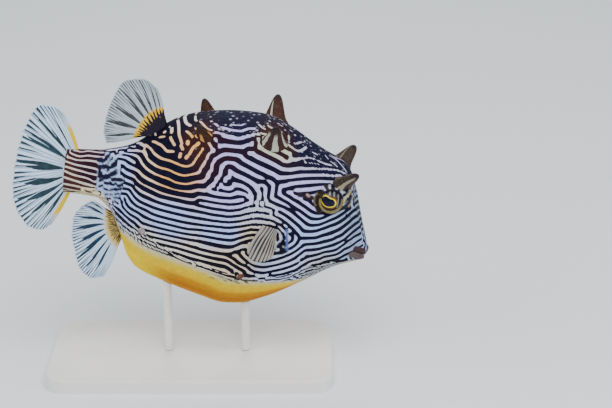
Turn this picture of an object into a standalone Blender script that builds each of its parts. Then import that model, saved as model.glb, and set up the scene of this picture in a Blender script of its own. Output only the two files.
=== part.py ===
"""A life-size ornate boxfish as a still display model, nose to the right, on a plain stand with two rods.

Blender 4.5, metres, +Z up, the fish facing +X and its left side towards +Y. The origin is the middle of the
underside of the stand. The fish is shaped level in a frame of its own, whose zero is the tip of the snout, and
is then pitched nose down and lifted onto the rods. In that frame a place is (behind the snout, out to the left
of the middle plane, high), in millimetres.
"""

import bpy
import bmesh
from math import cos, exp, pi, radians, sin
from mathutils import Matrix, Vector

MM = 0.001
GAP = 0.3  # millimetres left between pieces that touch

# The pose on the stand.
PITCH_DOWN = radians(7.0)
SNOUT_AT = Vector((62.0, 0.0, 45.0)) * MM
POSE = Matrix.Translation(SNOUT_AT) @ Matrix.Rotation(PITCH_DOWN, 4, "Y")

# Outlines of the carapace and tail stalk: (behind the snout, size).
BACK_LINE = ((0.6, 1.4), (3.3, 9.2), (6.6, 19.6), (9.4, 25.8), (13.0, 28.9), (17.0, 30.8), (24.0, 34.4),
             (30.0, 37.9), (36.0, 40.9), (43.0, 42.2), (50.0, 42.0), (60.0, 40.6), (68.0, 38.4), (74.0, 34.9),
             (80.0, 29.8), (85.0, 26.3), (90.0, 24.6), (96.0, 23.2), (108.0, 22.2))
UPPER_RIDGE_LINE = ((0.6, 0.4), (3.3, 6.4), (6.6, 15.8), (9.4, 22.6), (13.0, 25.8), (20.0, 28.6), (30.0, 34.2),
                    (38.0, 37.8), (46.0, 38.4), (60.0, 37.2), (70.0, 33.8), (78.0, 28.4), (86.0, 23.4),
                    (94.0, 20.8), (108.0, 20.0))
UPPER_RIDGE_OUT = ((0.6, 2.2), (3.3, 5.2), (6.6, 8.8), (11.0, 12.0), (16.0, 12.4), (38.0, 12.7), (50.0, 13.1),
                   (62.0, 12.4), (72.0, 10.6), (80.0, 7.8), (88.0, 5.4), (96.0, 3.8), (108.0, 3.0))
FLANK_OUT = ((0.6, 3.0), (4.0, 6.2), (8.0, 9.6), (14.0, 12.9), (22.0, 15.2), (32.0, 17.2), (46.0, 18.2),
             (60.0, 17.4), (72.0, 14.8), (82.0, 10.4), (90.0, 6.9), (97.0, 5.2), (108.0, 4.2))
LOWER_RIDGE_LINE = ((0.6, -4.0), (8.0, -4.7), (18.0, -5.6), (30.0, -9.2), (42.0, -10.4), (56.0, -8.2),
                    (68.0, -5.0), (78.0, -0.4), (86.0, 4.0), (94.0, 8.4), (108.0, 9.4))
LOWER_RIDGE_OUT = ((0.6, 2.2), (5.0, 5.0), (12.0, 8.8), (20.0, 12.2), (32.0, 15.8), (46.0, 17.2), (60.0, 16.2),
                   (72.0, 13.6), (82.0, 9.2), (90.0, 5.6), (98.0, 3.9), (108.0, 3.1))
KEEL_LINE = ((0.6, -5.2), (9.8, -8.6), (20.8, -16.0), (33.3, -23.6), (42.0, -27.1), (48.0, -27.7),
             (56.0, -26.0), (72.2, -21.2), (79.0, -18.3), (82.8, -14.0), (86.0, -6.4), (90.0, 1.9),
             (96.0, 6.2), (108.0, 6.6))
KEEL_POWER = 1.28  # 1 is a straight-sided keel and 2 a round belly
SNOUT_START, STALK_END = 0.6, 106.6
RIDGE_CREST = 0.35  # how far the ridges stand proud of the plates

# Where round the girth the ridges lie, from 0 on the back to 1 at the keel.
UPPER_RIDGE_TURN, LOWER_RIDGE_TURN = 0.25, 0.75
BODY_COLUMNS, BODY_ROWS = 40, 38
FRONT_CROWDING = 1.35  # above 1 sets the rows closer on the steep face

# Lines that part the body, as (behind the snout, high).
HEAD_LINE = ((26.5, 60.0), (29.8, 16.0), (30.6, 4.0), (28.0, -60.0))
STALK_LINE = ((90.0, 60.0), (92.4, 24.0), (93.6, 15.0), (92.4, 4.0), (91.0, -60.0))
BELLY_LINE = ((10.0, -12.0), (31.0, -14.2), (44.0, -14.8), (54.0, -12.8), (64.0, -10.2), (75.0, -6.4), (100.0, 3.0))

EYE_AT, EYE_RADIUS = (16.3, 10.9, 19.0), 4.4
EYE_FACING = Vector((0.24, 0.96, 0.12))
ORBIT_OUT, ORBIT_RADIUS, ORBIT_ROLL = 2.7, 4.05, 0.62
GILL_SLIT_AT, GILL_SLIT_SIZE = (30.2, 4.6), (0.5, 1.2, 3.3)
NOSTRILS, NOSTRIL_RADIUS = ((8.3, 13.0), (9.9, 14.2)), 0.5
LIP_AT, LIP_RADIUS, LIP_ROLL = (1.3, 0.0, -2.5), 1.8, 0.9
LIP_TILT, LIP_STRETCH = radians(25.0), (1.0, 1.25)
MOUTH_SLOT = (2.2, 1.8, 0.4)

# Horns and spines: root, tip, half length and half breadth at the root, and radius of the blunt tip.
THORNS = {
    "horn": {"root": (12.6, 11.0, 24.9), "tip": (8.1, 15.6, 30.3), "long": 4.4, "broad": 3.2, "blunt": 2.0},
    "back_spine_front": {"root": (37.2, 12.0, 36.8), "tip": (36.9, 19.4, 44.6), "long": 4.4, "broad": 2.5,
                         "blunt": 1.1},
    "back_spine_rear": {"root": (60.0, 11.5, 36.0), "tip": (62.4, 15.8, 41.0), "long": 3.4, "broad": 2.1,
                        "blunt": 0.8},
    "low_spine_front": {"root": (43.2, 16.3, -9.2), "tip": (44.8, 20.2, -11.6), "long": 2.6, "broad": 1.6,
                        "blunt": 0.5},
    "low_spine_rear": {"root": (77.4, 10.6, 0.2), "tip": (79.4, 14.0, -1.4), "long": 2.3, "broad": 1.5,
                       "blunt": 0.5},
}
THORN_SIDES, THORN_RINGS, THORN_SUNK = 12, 5, 0.4

# Fins: the line of the roots and of the tips, from the first ray to the last.
MEMBRANE, RAY_PROUD = 0.5, 0.3
FINS = {
    "tail_fin": {
        "rays": 11, "rows": 7, "sunk": 3.4, "lobe": 2.4, "sway": 1.6, "bow": 0.9,
        "root": ((102.4, 0.0, 22.0), (105.6, 0.0, 19.6), (106.8, 0.0, 14.8), (106.6, 0.0, 10.4), (104.3, 0.0, 6.4)),
        "tips": ((108.4, 0.0, 35.0), (112.2, 0.0, 37.2), (116.6, 0.0, 37.4), (120.4, 0.0, 31.4), (122.5, 0.0, 24.0),
                 (123.8, 0.0, 16.0), (124.2, 0.0, 8.5), (123.8, 0.0, 2.4), (121.2, 0.0, -4.0), (117.4, 0.0, -8.2),
                 (113.6, 0.0, -8.9), (109.8, 0.0, -6.2)),
    },
    "dorsal_fin": {
        "rays": 10, "rows": 6, "sunk": 6.4, "lobe": 3.6, "sway": 1.2, "bow": 0.5,
        "root": ((74.8, 0.0, 38.8), (77.6, 0.0, 37.2), (80.6, 0.0, 34.4), (82.8, 0.0, 31.8), (84.4, 0.0, 28.8)),
        "tips": ((78.0, 0.0, 47.6), (83.0, 0.0, 50.5), (89.0, 0.0, 49.2), (92.2, 0.0, 43.6), (94.1, 0.0, 37.0),
                 (94.9, 0.0, 30.4), (93.6, 0.0, 25.6)),
    },
    "anal_fin": {
        "rays": 10, "rows": 6, "sunk": 6.0, "lobe": 3.4, "sway": 1.2, "bow": 0.5,
        "root": ((86.3, 0.0, -11.2), (89.2, 0.0, -8.8), (91.0, 0.0, -5.0), (91.7, 0.0, -1.2), (92.3, 0.0, 2.7)),
        "tips": ((90.2, 0.0, -23.4), (94.6, 0.0, -24.8), (98.9, 0.0, -22.0), (101.4, 0.0, -15.2), (102.9, 0.0, -8.6),
                 (102.8, 0.0, -3.0), (100.4, 0.0, 2.0), (96.8, 0.0, 5.0)),
    },
    "pectoral_fin": {
        "rays": 10, "rows": 5, "sunk": 2.6, "lobe": 2.2, "sway": 0.6, "bow": 0.4,
        "root": ((33.0, 17.5, 7.0), (33.6, 17.7, 4.2), (33.0, 17.6, 1.4)),
        "tips": ((37.2, 20.2, 9.8), (40.6, 21.5, 8.2), (41.6, 22.0, 4.4), (40.8, 21.6, 1.0), (38.4, 20.6, -1.0)),
    },
}
COLUMNS_PER_RAY, LOBE_ROWS = 4, 3
FORK_FROM, FORK_SPREAD, RAY_BREADTH = 0.35, 0.25, 0.13

# The stand.
BASE_SIZE, BASE_CORNER, BASE_EDGE = (100.0, 52.0, 5.0), 8.0, 0.8
ROD_RADIUS, ROD_SIDES, ROD_REACH = 1.5, 20, 12.0
RODS = {"stand_rod_front": 40.0, "stand_rod_rear": 68.0}

FINISHES = {
    "head": ((0.62, 0.63, 0.68), 0.45),
    "torso": ((0.52, 0.50, 0.54), 0.45),
    "belly": ((0.84, 0.58, 0.06), 0.45),
    "tail_stalk": ((0.48, 0.42, 0.42), 0.45),
    "eye": ((0.03, 0.04, 0.12), 0.08),
    "tail_fin": ((0.72, 0.77, 0.80), 0.4),
    "dorsal_fin": ((0.66, 0.70, 0.70), 0.4),
    "anal_fin": ((0.62, 0.70, 0.76), 0.4),
    "pectoral_fin": ((0.60, 0.60, 0.58), 0.4),
    "stand": ((0.80, 0.79, 0.76), 0.5),
    "thorn": ((0.22, 0.13, 0.09), 0.5),
}


def smooth_line(knots):
    """A function through (place, value) knots that is smooth and never overshoots between them."""
    xs = [k[0] for k in knots]
    ys = [k[1] for k in knots]
    steps = [xs[i + 1] - xs[i] for i in range(len(xs) - 1)]
    slopes = [(ys[i + 1] - ys[i]) / steps[i] for i in range(len(steps))]
    bends = [slopes[0]]
    for before, after in zip(slopes, slopes[1:]):
        bends.append(0.0 if before * after <= 0 else 2 * before * after / (before + after))
    bends.append(slopes[-1])

    def value(x):
        x = min(max(x, xs[0]), xs[-1])
        i = max(j for j in range(len(steps)) if xs[j] <= x)
        t, h = (x - xs[i]) / steps[i], steps[i]
        return ((2 * t**3 - 3 * t**2 + 1) * ys[i] + (t**3 - 2 * t**2 + t) * h * bends[i]
                + (3 * t**2 - 2 * t**3) * ys[i + 1] + (t**3 - t**2) * h * bends[i + 1])

    return value


def smooth_path(points):
    """A function from 0 to 1 along a smooth path through places."""
    last = len(points) - 1
    lines = [smooth_line([(i / last, p[axis]) for i, p in enumerate(points)]) for axis in range(3)]
    return lambda share: placed(*(line(share) for line in lines))


def placed(behind, out, high):
    """A place of the fish's own frame as a point in metres."""
    return Vector((-behind, out, high)) * MM


def sided(place, side):
    """The same place on the left (1) or mirrored to the right (-1)."""
    return (place[0], place[1] * side, place[2])


back, upper_high, upper_out = map(smooth_line, (BACK_LINE, UPPER_RIDGE_LINE, UPPER_RIDGE_OUT))
lower_high, lower_out = map(smooth_line, (LOWER_RIDGE_LINE, LOWER_RIDGE_OUT))
flank_out, keel = map(smooth_line, (FLANK_OUT, KEEL_LINE))


def flank(behind, down):
    """How far out and how high the flank is, a share of the way down from the upper ridge to the lower."""
    out = upper_out(behind) + (lower_out(behind) - upper_out(behind)) * down
    bulge = flank_out(behind) - (upper_out(behind) + lower_out(behind)) / 2
    high = upper_high(behind) + (lower_high(behind) - upper_high(behind)) * down
    return out + bulge * sin(pi * down), high


def flank_place(behind, high):
    """The place of the skin on the left flank at this distance behind the snout and this height."""
    down = (upper_high(behind) - high) / (upper_high(behind) - lower_high(behind))
    return (behind, flank(behind, down)[0], high)


def body_point(behind, turn):
    """A point of the skin, at a turn of the girth from -1 (keel) over 0 (back) to 1 (keel)."""
    side, turn = (1.0 if turn >= 0 else -1.0), abs(turn)
    if turn <= UPPER_RIDGE_TURN:
        t = turn / UPPER_RIDGE_TURN
        out, high = upper_out(behind) * t, back(behind) - (back(behind) - upper_high(behind)) * t * t
    elif turn <= LOWER_RIDGE_TURN:
        out, high = flank(behind, (turn - UPPER_RIDGE_TURN) / (LOWER_RIDGE_TURN - UPPER_RIDGE_TURN))
    else:
        angle = (turn - LOWER_RIDGE_TURN) / (1 - LOWER_RIDGE_TURN) * pi / 2
        out = lower_out(behind) * max(cos(angle), 0.0) ** (2 / KEEL_POWER)
        high = lower_high(behind) - (lower_high(behind) - keel(behind)) * sin(angle) ** (2 / KEEL_POWER)
    crest = sum(exp(-(((turn - at) / 0.03) ** 2)) for at in (UPPER_RIDGE_TURN, LOWER_RIDGE_TURN))
    return placed(behind, side * (out + RIDGE_CREST * crest * min(1.0, flank_out(behind) / 12.0)), high)


def new_object(name, bm, finish=None):
    """An object of this mesh, shaded smooth, with its own plain material."""
    mesh = bpy.data.meshes.new(name)
    for face in bm.faces:
        face.smooth = True
    bm.to_mesh(mesh)
    bm.free()
    obj = bpy.data.objects.new(name, mesh)
    bpy.context.scene.collection.objects.link(obj)
    if finish:
        material = bpy.data.materials.new(name + "_finish")
        material.use_nodes = True
        shader = material.node_tree.nodes["Principled BSDF"]
        rgb, roughness = FINISHES[finish]
        shader.inputs["Base Color"].default_value = (*rgb, 1.0)
        shader.inputs["Roughness"].default_value = roughness
        mesh.materials.append(material)
    return obj


def body_mesh(grow=0.0):
    """The whole closed body, or one grown outwards by millimetres, from a grid wrapped round the girth."""
    bm = bmesh.new()
    bmesh.ops.create_grid(bm, x_segments=BODY_COLUMNS, y_segments=BODY_ROWS, size=1.0)
    for v in bm.verts:
        along = ((v.co.y + 1) / 2) ** FRONT_CROWDING
        v.co = body_point(SNOUT_START + (STALK_END - SNOUT_START) * along, v.co.x)
    bmesh.ops.remove_doubles(bm, verts=bm.verts, dist=0.01 * MM)
    rims = [e for e in bm.edges if e.is_boundary]
    ends = bmesh.ops.holes_fill(bm, edges=rims, sides=0)["faces"]
    bmesh.ops.poke(bm, faces=ends)
    bmesh.ops.recalc_face_normals(bm, faces=bm.faces)
    bm.normal_update()
    for v, normal in [(v, v.normal.copy()) for v in bm.verts]:
        v.co += normal * grow * MM
    return bm


def ball_mesh(centre, radii, turned=Matrix.Identity(3), segments=20):
    """A closed ball, or one squeezed along its axes, turned and placed."""
    bm = bmesh.new()
    bmesh.ops.create_uvsphere(bm, u_segments=segments, v_segments=max(8, segments // 2), radius=1.0)
    bmesh.ops.scale(bm, vec=Vector(radii) * MM, verts=bm.verts)
    bmesh.ops.rotate(bm, matrix=turned, verts=bm.verts)
    bmesh.ops.translate(bm, vec=centre, verts=bm.verts)
    return bm


def ring_mesh(centre, radius, roll, turned, stretch=(1.0, 1.0), steps=20, sides=8):
    """A closed ring round the Z axis of the turned frame, spun from one circle."""
    bm = bmesh.new()
    spot = Matrix.Translation((radius * MM, 0, 0)) @ Matrix.Rotation(pi / 2, 4, "X")
    made = bmesh.ops.create_circle(bm, segments=sides, radius=roll * MM, matrix=spot)["verts"]
    rim = list({e for v in made for e in v.link_edges})
    bmesh.ops.spin(bm, geom=made + rim, axis=(0, 0, 1), cent=(0, 0, 0), angle=2 * pi, steps=steps, use_merge=True)
    bmesh.ops.remove_doubles(bm, verts=bm.verts, dist=0.01 * MM)
    bmesh.ops.recalc_face_normals(bm, faces=bm.faces)
    bmesh.ops.scale(bm, vec=(stretch[0], stretch[1], 1.0), verts=bm.verts)
    bmesh.ops.rotate(bm, matrix=turned, verts=bm.verts)
    bmesh.ops.translate(bm, vec=centre, verts=bm.verts)
    return bm


def thorn_mesh(form):
    """A blunt thorn of the left side on an oval root, drawn up ring by ring with hollow sides."""
    root, tip = placed(*form["root"]), placed(*form["tip"])
    up = (tip - root).normalized()
    along = (Vector((1, 0, 0)) - up * up.x).normalized()
    across = up.cross(along)
    length, blunt = (tip - root).length, form["blunt"]
    bm = bmesh.new()
    below = None
    for step in range(-1, THORN_RINGS + 1):
        t = max(step, 0) / THORN_RINGS
        taper = (1 - t) ** 1.3
        rounding = cos(t * pi / 2) ** 0.5 if step < THORN_RINGS else 0.35
        height = -THORN_SUNK if step < 0 else sin(t * pi / 2)
        reach, spread = ((form[key] - blunt) * taper + blunt * rounding for key in ("long", "broad"))
        ring = bmesh.ops.create_circle(bm, segments=THORN_SIDES, radius=1.0, cap_ends=step in (-1, THORN_RINGS))["verts"]
        edges = list({e for v in ring for e in v.link_edges})
        for v in ring:
            v.co = root + up * length * height + (along * reach * v.co.x + across * spread * v.co.y) * MM
        if below:
            bmesh.ops.bridge_loops(bm, edges=below + edges)
        below = edges
    bmesh.ops.triangulate(bm, faces=bm.faces)
    bmesh.ops.recalc_face_normals(bm, faces=bm.faces)
    return bm


def ray_at(across, along):
    """How proud a ray stands, from 0 to 1, between two rays; rays fork and thin out towards the tips."""
    fork = max(0.0, (along - FORK_FROM) / (1 - FORK_FROM)) * FORK_SPREAD
    offset = abs(across - round(across))
    return exp(-(((offset - fork) / RAY_BREADTH) ** 2)) * (1 - 0.5 * max(along, 0.0))


def fin_mesh(form):
    """A closed fin: the same triangulated grid on both faces, raised rays, and a fleshy lobe at the root."""
    root, tips = smooth_path(form["root"]), smooth_path(form["tips"])
    gaps, rows = form["rays"] - 1, form["rows"] + LOBE_ROWS
    chord, span = root(1.0) - root(0.0), tips(0.5) - root(0.5)
    thick_way = chord.cross(span).normalized()
    bm = bmesh.new()
    bmesh.ops.create_grid(bm, x_segments=gaps * COLUMNS_PER_RAY, y_segments=rows, size=1.0)
    bmesh.ops.triangulate(bm, faces=bm.faces, quad_method="FIXED")
    halves = {}
    for v in bm.verts:
        share, row = (v.co.x + 1) / 2, round((v.co.y + 1) / 2 * rows)
        inner, outer = root(share), tips(share)
        if row < LOBE_ROWS:
            depth = 1 - row / LOBE_ROWS
            v.co = inner - (outer - inner).normalized() * form["sunk"] * MM * depth
            halves[v] = (MEMBRANE + form["lobe"] * (0.35 + 0.65 * depth) * min(1.0, 0.3 + 5 * min(share, 1 - share))) / 2
        else:
            along = (row - LOBE_ROWS) / form["rows"]
            v.co = inner.lerp(outer, along) + chord.normalized() * form["bow"] * MM * (2 * share - 1) * sin(pi * along)
            v.co += thick_way * form["sway"] * MM * sin(pi * share * 1.2 + 0.4) * along**1.5
            foot = form["lobe"] * 0.35 * max(0.0, 1 - along * 4) * min(1.0, 0.3 + 5 * min(share, 1 - share))
            halves[v] = (MEMBRANE + foot) / 2 + RAY_PROUD * ray_at(share * gaps, along)
    twins = bmesh.ops.duplicate(bm, geom=bm.verts[:] + bm.edges[:] + bm.faces[:])
    for v, half in halves.items():
        twins["vert_map"][v].co = v.co - thick_way * half * MM
        v.co = v.co + thick_way * half * MM
    bmesh.ops.reverse_faces(bm, faces=[f for f in twins["geom"] if isinstance(f, bmesh.types.BMFace)])
    bmesh.ops.bridge_loops(bm, edges=[e for e in bm.edges if e.is_boundary])
    bmesh.ops.triangulate(bm, faces=[f for f in bm.faces if len(f.verts) > 3])
    bmesh.ops.recalc_face_normals(bm, faces=bm.faces)
    return bm


def block_mesh(outline):
    """A closed block across the whole fish, from an outline of (behind, high) corners."""
    bm = bmesh.new()
    face = bm.faces.new([bm.verts.new(placed(b, -60.0, h)) for b, h in outline])
    made = bmesh.ops.extrude_face_region(bm, geom=[face])["geom"]
    bmesh.ops.translate(bm, vec=placed(0, 120.0, 0), verts=[v for v in made if isinstance(v, bmesh.types.BMVert)])
    bmesh.ops.recalc_face_normals(bm, faces=bm.faces)
    return bm


def block_between(front, rear):
    """The block between two parting lines, or to far beyond the fish where there is none."""
    fore = [(b + GAP / 2, h) for b, h in front] if front else [(-20.0, 60.0), (-20.0, -60.0)]
    aft = [(b - GAP / 2, h) for b, h in rear] if rear else [(130.0, 60.0), (130.0, -60.0)]
    return block_mesh(fore + aft[::-1])


def block_below(line, lift):
    """The block below a parting line that is lifted a little."""
    return block_mesh([(line[0][0], -60.0)] + [(b, h + lift) for b, h in line] + [(line[-1][0], -60.0)])


def keep_largest(bm):
    """Leaves only the largest closed surface."""
    islands, seen = [], set()
    for start in bm.faces:
        if start in seen:
            continue
        island, queue = [], [start]
        seen.add(start)
        while queue:
            face = queue.pop()
            island.append(face)
            near = [f for e in face.edges for f in e.link_faces if f not in seen]
            seen.update(near)
            queue.extend(set(near))
        islands.append(island)
    islands.sort(key=lambda island: sum(f.calc_area() for f in island))
    bmesh.ops.delete(bm, geom=[f for island in islands[:-1] for f in island], context="FACES")


def boolean(obj, operation, *meshes):
    """One Boolean with a collection of closed meshes, applied at once."""
    tools = bpy.data.collections.new(obj.name + "_tools")
    bpy.context.scene.collection.children.link(tools)
    for i, bm in enumerate(meshes):
        tool = new_object(f"{obj.name}_tool_{i}", bm)
        bpy.context.scene.collection.objects.unlink(tool)
        tools.objects.link(tool)
    modifier = obj.modifiers.new(operation.title(), "BOOLEAN")
    modifier.operation, modifier.solver, modifier.operand_type = operation, "EXACT", "COLLECTION"
    modifier.collection = tools
    bpy.context.view_layer.update()
    material = obj.data.materials[0]
    mesh = bpy.data.meshes.new_from_object(obj.evaluated_get(bpy.context.evaluated_depsgraph_get()))
    obj.modifiers.clear()
    obj.data = mesh
    mesh.materials.clear()
    mesh.materials.append(material)
    bm = bmesh.new()
    bm.from_mesh(mesh)
    bmesh.ops.triangulate(bm, faces=bm.faces)
    keep_largest(bm)
    for face in bm.faces:
        face.smooth, face.material_index = True, 0
    bm.to_mesh(mesh)
    bm.free()
    for tool in list(tools.objects):
        bpy.data.objects.remove(tool)
    bpy.data.collections.remove(tools)


def facing(direction, side):
    """A rotation that turns Z to a direction given for the left side, mirrored for the right."""
    return Vector((direction.x, direction.y * side, direction.z)).to_track_quat("Z", "Y").to_matrix()


def gill_cutter(side):
    """The lens that opens the gill slit in front of one pectoral fin."""
    return ball_mesh(placed(*sided(flank_place(*GILL_SLIT_AT), side)), GILL_SLIT_SIZE, segments=14)


def orbit_mesh(side, grow=0.0):
    """The raised rim round one eye, or one grown by millimetres."""
    turned = facing(EYE_FACING, side)
    middle = placed(*sided(EYE_AT, side)) + turned @ Vector((0, 0, ORBIT_OUT * MM))
    return ring_mesh(middle, ORBIT_RADIUS, ORBIT_ROLL + grow, turned)


def build_head():
    """The head: face, lips round the mouth, orbits with their sockets, nostrils and the front of the gills."""
    head = new_object("head", body_mesh(), "head")
    boolean(head, "INTERSECT", block_between(None, HEAD_LINE))
    lip_turn = Matrix.Rotation(pi / 2 + LIP_TILT, 3, "Y")
    lips = ring_mesh(placed(*LIP_AT), LIP_RADIUS, LIP_ROLL, lip_turn, LIP_STRETCH, steps=18)
    boolean(head, "UNION", lips, orbit_mesh(1), orbit_mesh(-1))
    removed = [ball_mesh(placed(*LIP_AT), MOUTH_SLOT, Matrix.Rotation(LIP_TILT, 3, "Y"), segments=16)]
    for side in (1, -1):
        removed.append(ball_mesh(placed(*sided(EYE_AT, side)), (EYE_RADIUS + GAP,) * 3, segments=18))
        removed.append(gill_cutter(side))
        for spot in NOSTRILS:
            pit = placed(*sided(flank_place(*spot), side))
            removed.append(ball_mesh(pit, (NOSTRIL_RADIUS,) * 3, segments=8))
    boolean(head, "DIFFERENCE", *removed)
    return head


def build_trunk():
    """The rest of the carapace in two pieces, torso and belly, and the tail stalk."""
    torso = new_object("torso", body_mesh(), "torso")
    boolean(torso, "INTERSECT", block_between(HEAD_LINE, STALK_LINE))
    boolean(torso, "DIFFERENCE", block_below(BELLY_LINE, GAP / 2), gill_cutter(1), gill_cutter(-1))
    belly = new_object("belly", body_mesh(), "belly")
    boolean(belly, "INTERSECT", block_between(HEAD_LINE, STALK_LINE))
    boolean(belly, "INTERSECT", block_below(BELLY_LINE, -GAP / 2))
    stalk = new_object("tail_stalk", body_mesh(), "tail_stalk")
    boolean(stalk, "INTERSECT", block_between(STALK_LINE, None))
    return [torso, belly, stalk]


def mirror_twin(obj, name):
    """The same piece on the other side of the fish."""
    twin = obj.copy()
    twin.name, twin.data = name, obj.data.copy()
    twin.data.materials[0] = obj.data.materials[0].copy()
    twin.data.transform(Matrix.Scale(-1.0, 4, (0, 1, 0)))
    twin.data.flip_normals()
    bpy.context.scene.collection.objects.link(twin)
    return twin


def build_outgrowths():
    """Fins, horns and spines, each cut back to a hair's breadth from the body."""
    pieces = []
    for name, form in FINS.items():
        paired = name == "pectoral_fin"
        fin = new_object(name + ("_left" if paired else ""), fin_mesh(form), name)
        boolean(fin, "DIFFERENCE", body_mesh(GAP))
        pieces += [fin, mirror_twin(fin, name + "_right")] if paired else [fin]
    for name, form in THORNS.items():
        thorn = new_object(name + "_left", thorn_mesh(form), "thorn")
        around = [orbit_mesh(1, GAP * 1.1)] if name == "horn" else []
        boolean(thorn, "DIFFERENCE", body_mesh(GAP), *around)
        pieces += [thorn, mirror_twin(thorn, name + "_right")]
    return pieces


def build_eyes():
    """The two eyeballs."""
    eyes = []
    for side in (1, -1):
        turned = facing(EYE_FACING, side)
        ball = ball_mesh(placed(*sided(EYE_AT, side)), (EYE_RADIUS,) * 3, turned, segments=18)
        eyes.append(new_object("eye_left" if side == 1 else "eye_right", ball, "eye"))
    return eyes


def build_stand():
    """A flat base with rounded corners, and two rods whose tops follow the keel."""
    bm = bmesh.new()
    bmesh.ops.create_cube(bm, size=1.0)
    bmesh.ops.scale(bm, vec=Vector(BASE_SIZE) * MM, verts=bm.verts)
    bmesh.ops.translate(bm, vec=(0, 0, BASE_SIZE[2] * MM / 2), verts=bm.verts)
    corners = [e for e in bm.edges if abs(e.verts[0].co.z - e.verts[1].co.z) > MM]
    bmesh.ops.bevel(bm, geom=corners, offset=BASE_CORNER * MM, segments=6, profile=0.5, affect="EDGES")
    rim = [e for e in bm.edges if min(v.co.z for v in e.verts) > (BASE_SIZE[2] - 0.1) * MM]
    bmesh.ops.bevel(bm, geom=rim, offset=BASE_EDGE * MM, segments=2, profile=0.5, affect="EDGES")
    bmesh.ops.triangulate(bm, faces=bm.faces)
    new_object("stand_base", bm, "stand")
    for name, behind in RODS.items():
        foot = (BASE_SIZE[2] + GAP) * MM
        below = POSE @ placed(behind, 0, keel(behind))
        height = below.z + ROD_REACH * MM - foot
        bm = bmesh.new()
        bmesh.ops.create_cone(bm, cap_ends=True, segments=ROD_SIDES, radius1=ROD_RADIUS * MM,
                              radius2=ROD_RADIUS * MM, depth=height)
        bmesh.ops.translate(bm, vec=(below.x, 0, foot + height / 2), verts=bm.verts)
        rod = new_object(name, bm, "stand")
        body = body_mesh(GAP)
        body.transform(POSE)
        boolean(rod, "DIFFERENCE", body)


def main():
    """Builds the fish in its own frame, sets it in its pose and stands it up."""
    for obj in list(bpy.data.objects):
        bpy.data.objects.remove(obj)
    for piece in [build_head(), *build_trunk(), *build_outgrowths(), *build_eyes()]:
        piece.data.transform(POSE)
    build_stand()


main()
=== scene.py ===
"""Looks of a life-size ornate boxfish display model: striped skin, horns, fins, eyes and a plain stand.

Everything is in metres in the frame of the solids. The fish is shaped level in a frame of its own, whose
zero is the tip of the snout, and POSE sets it on its rods. In that frame a place is (behind the snout, out to
the left of the middle plane, high), in millimetres.
"""

import logging
from dataclasses import dataclass
from enum import Enum
from math import cos, exp, pi, radians, sin
from typing import Callable, Sequence

import bmesh
import bpy
import numpy as np
from mathutils import Matrix, Vector
from mathutils.kdtree import KDTree


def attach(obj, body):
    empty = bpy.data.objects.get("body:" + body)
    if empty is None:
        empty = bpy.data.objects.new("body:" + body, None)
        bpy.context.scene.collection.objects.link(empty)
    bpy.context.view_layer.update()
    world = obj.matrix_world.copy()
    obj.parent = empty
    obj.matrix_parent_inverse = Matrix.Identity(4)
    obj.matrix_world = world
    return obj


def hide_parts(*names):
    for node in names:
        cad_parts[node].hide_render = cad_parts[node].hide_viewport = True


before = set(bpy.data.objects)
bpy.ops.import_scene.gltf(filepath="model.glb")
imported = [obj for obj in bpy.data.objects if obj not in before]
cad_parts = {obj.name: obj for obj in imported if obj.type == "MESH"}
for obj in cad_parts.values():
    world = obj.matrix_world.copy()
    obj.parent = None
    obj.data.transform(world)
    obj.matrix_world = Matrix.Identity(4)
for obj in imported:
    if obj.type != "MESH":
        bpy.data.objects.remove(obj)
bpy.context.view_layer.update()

LOG = logging.getLogger("boxfish")
MM = 0.001

Place = tuple[float, float, float]
Flat = tuple[float, float]
Rgb = tuple[float, float, float]

PITCH_DOWN = radians(7.0)
SNOUT_AT = Vector((62.0, 0.0, 45.0)) * MM
POSE = Matrix.Translation(SNOUT_AT) @ Matrix.Rotation(PITCH_DOWN, 4, "Y")
EYE_AT: Place = (16.3, 10.9, 19.0)
EYE_FACING = Vector((0.24, 0.96, 0.12))


class Side(Enum):
    """The two sides of the fish, as the sign of the direction out."""

    LEFT = 1.0
    RIGHT = -1.0

    @property
    def label(self) -> str:
        """The side's name as it ends the name of a piece."""
        return self.name.lower()


class Slot(Enum):
    """The record's material slots, one named with each new piece."""

    FLANK = "flank_skin"
    EYE = "eye"
    THORN = "thorn"
    FIN = "fin"


def placed(behind: float, out: float, high: float) -> Vector:
    """A place of the fish's own frame as a point in metres, still level."""
    return Vector((-behind, out, high)) * MM


def mirrored(place: Place, side: Side) -> Vector:
    """A place given for the left side, as a level point of this side."""
    return placed(place[0], place[1] * side.value, place[2])


def facing(direction: Vector, side: Side) -> Matrix:
    """A rotation that turns Z to a direction given for the left side, mirrored for the right.

    Args:
        direction: The direction in the level frame, in the axes of Blender.
        side: The side of the fish.

    Returns:
        The rotation matrix.
    """
    return Vector((direction.x, direction.y * side.value, direction.z)).to_track_quat("Z", "Y").to_matrix()


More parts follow.
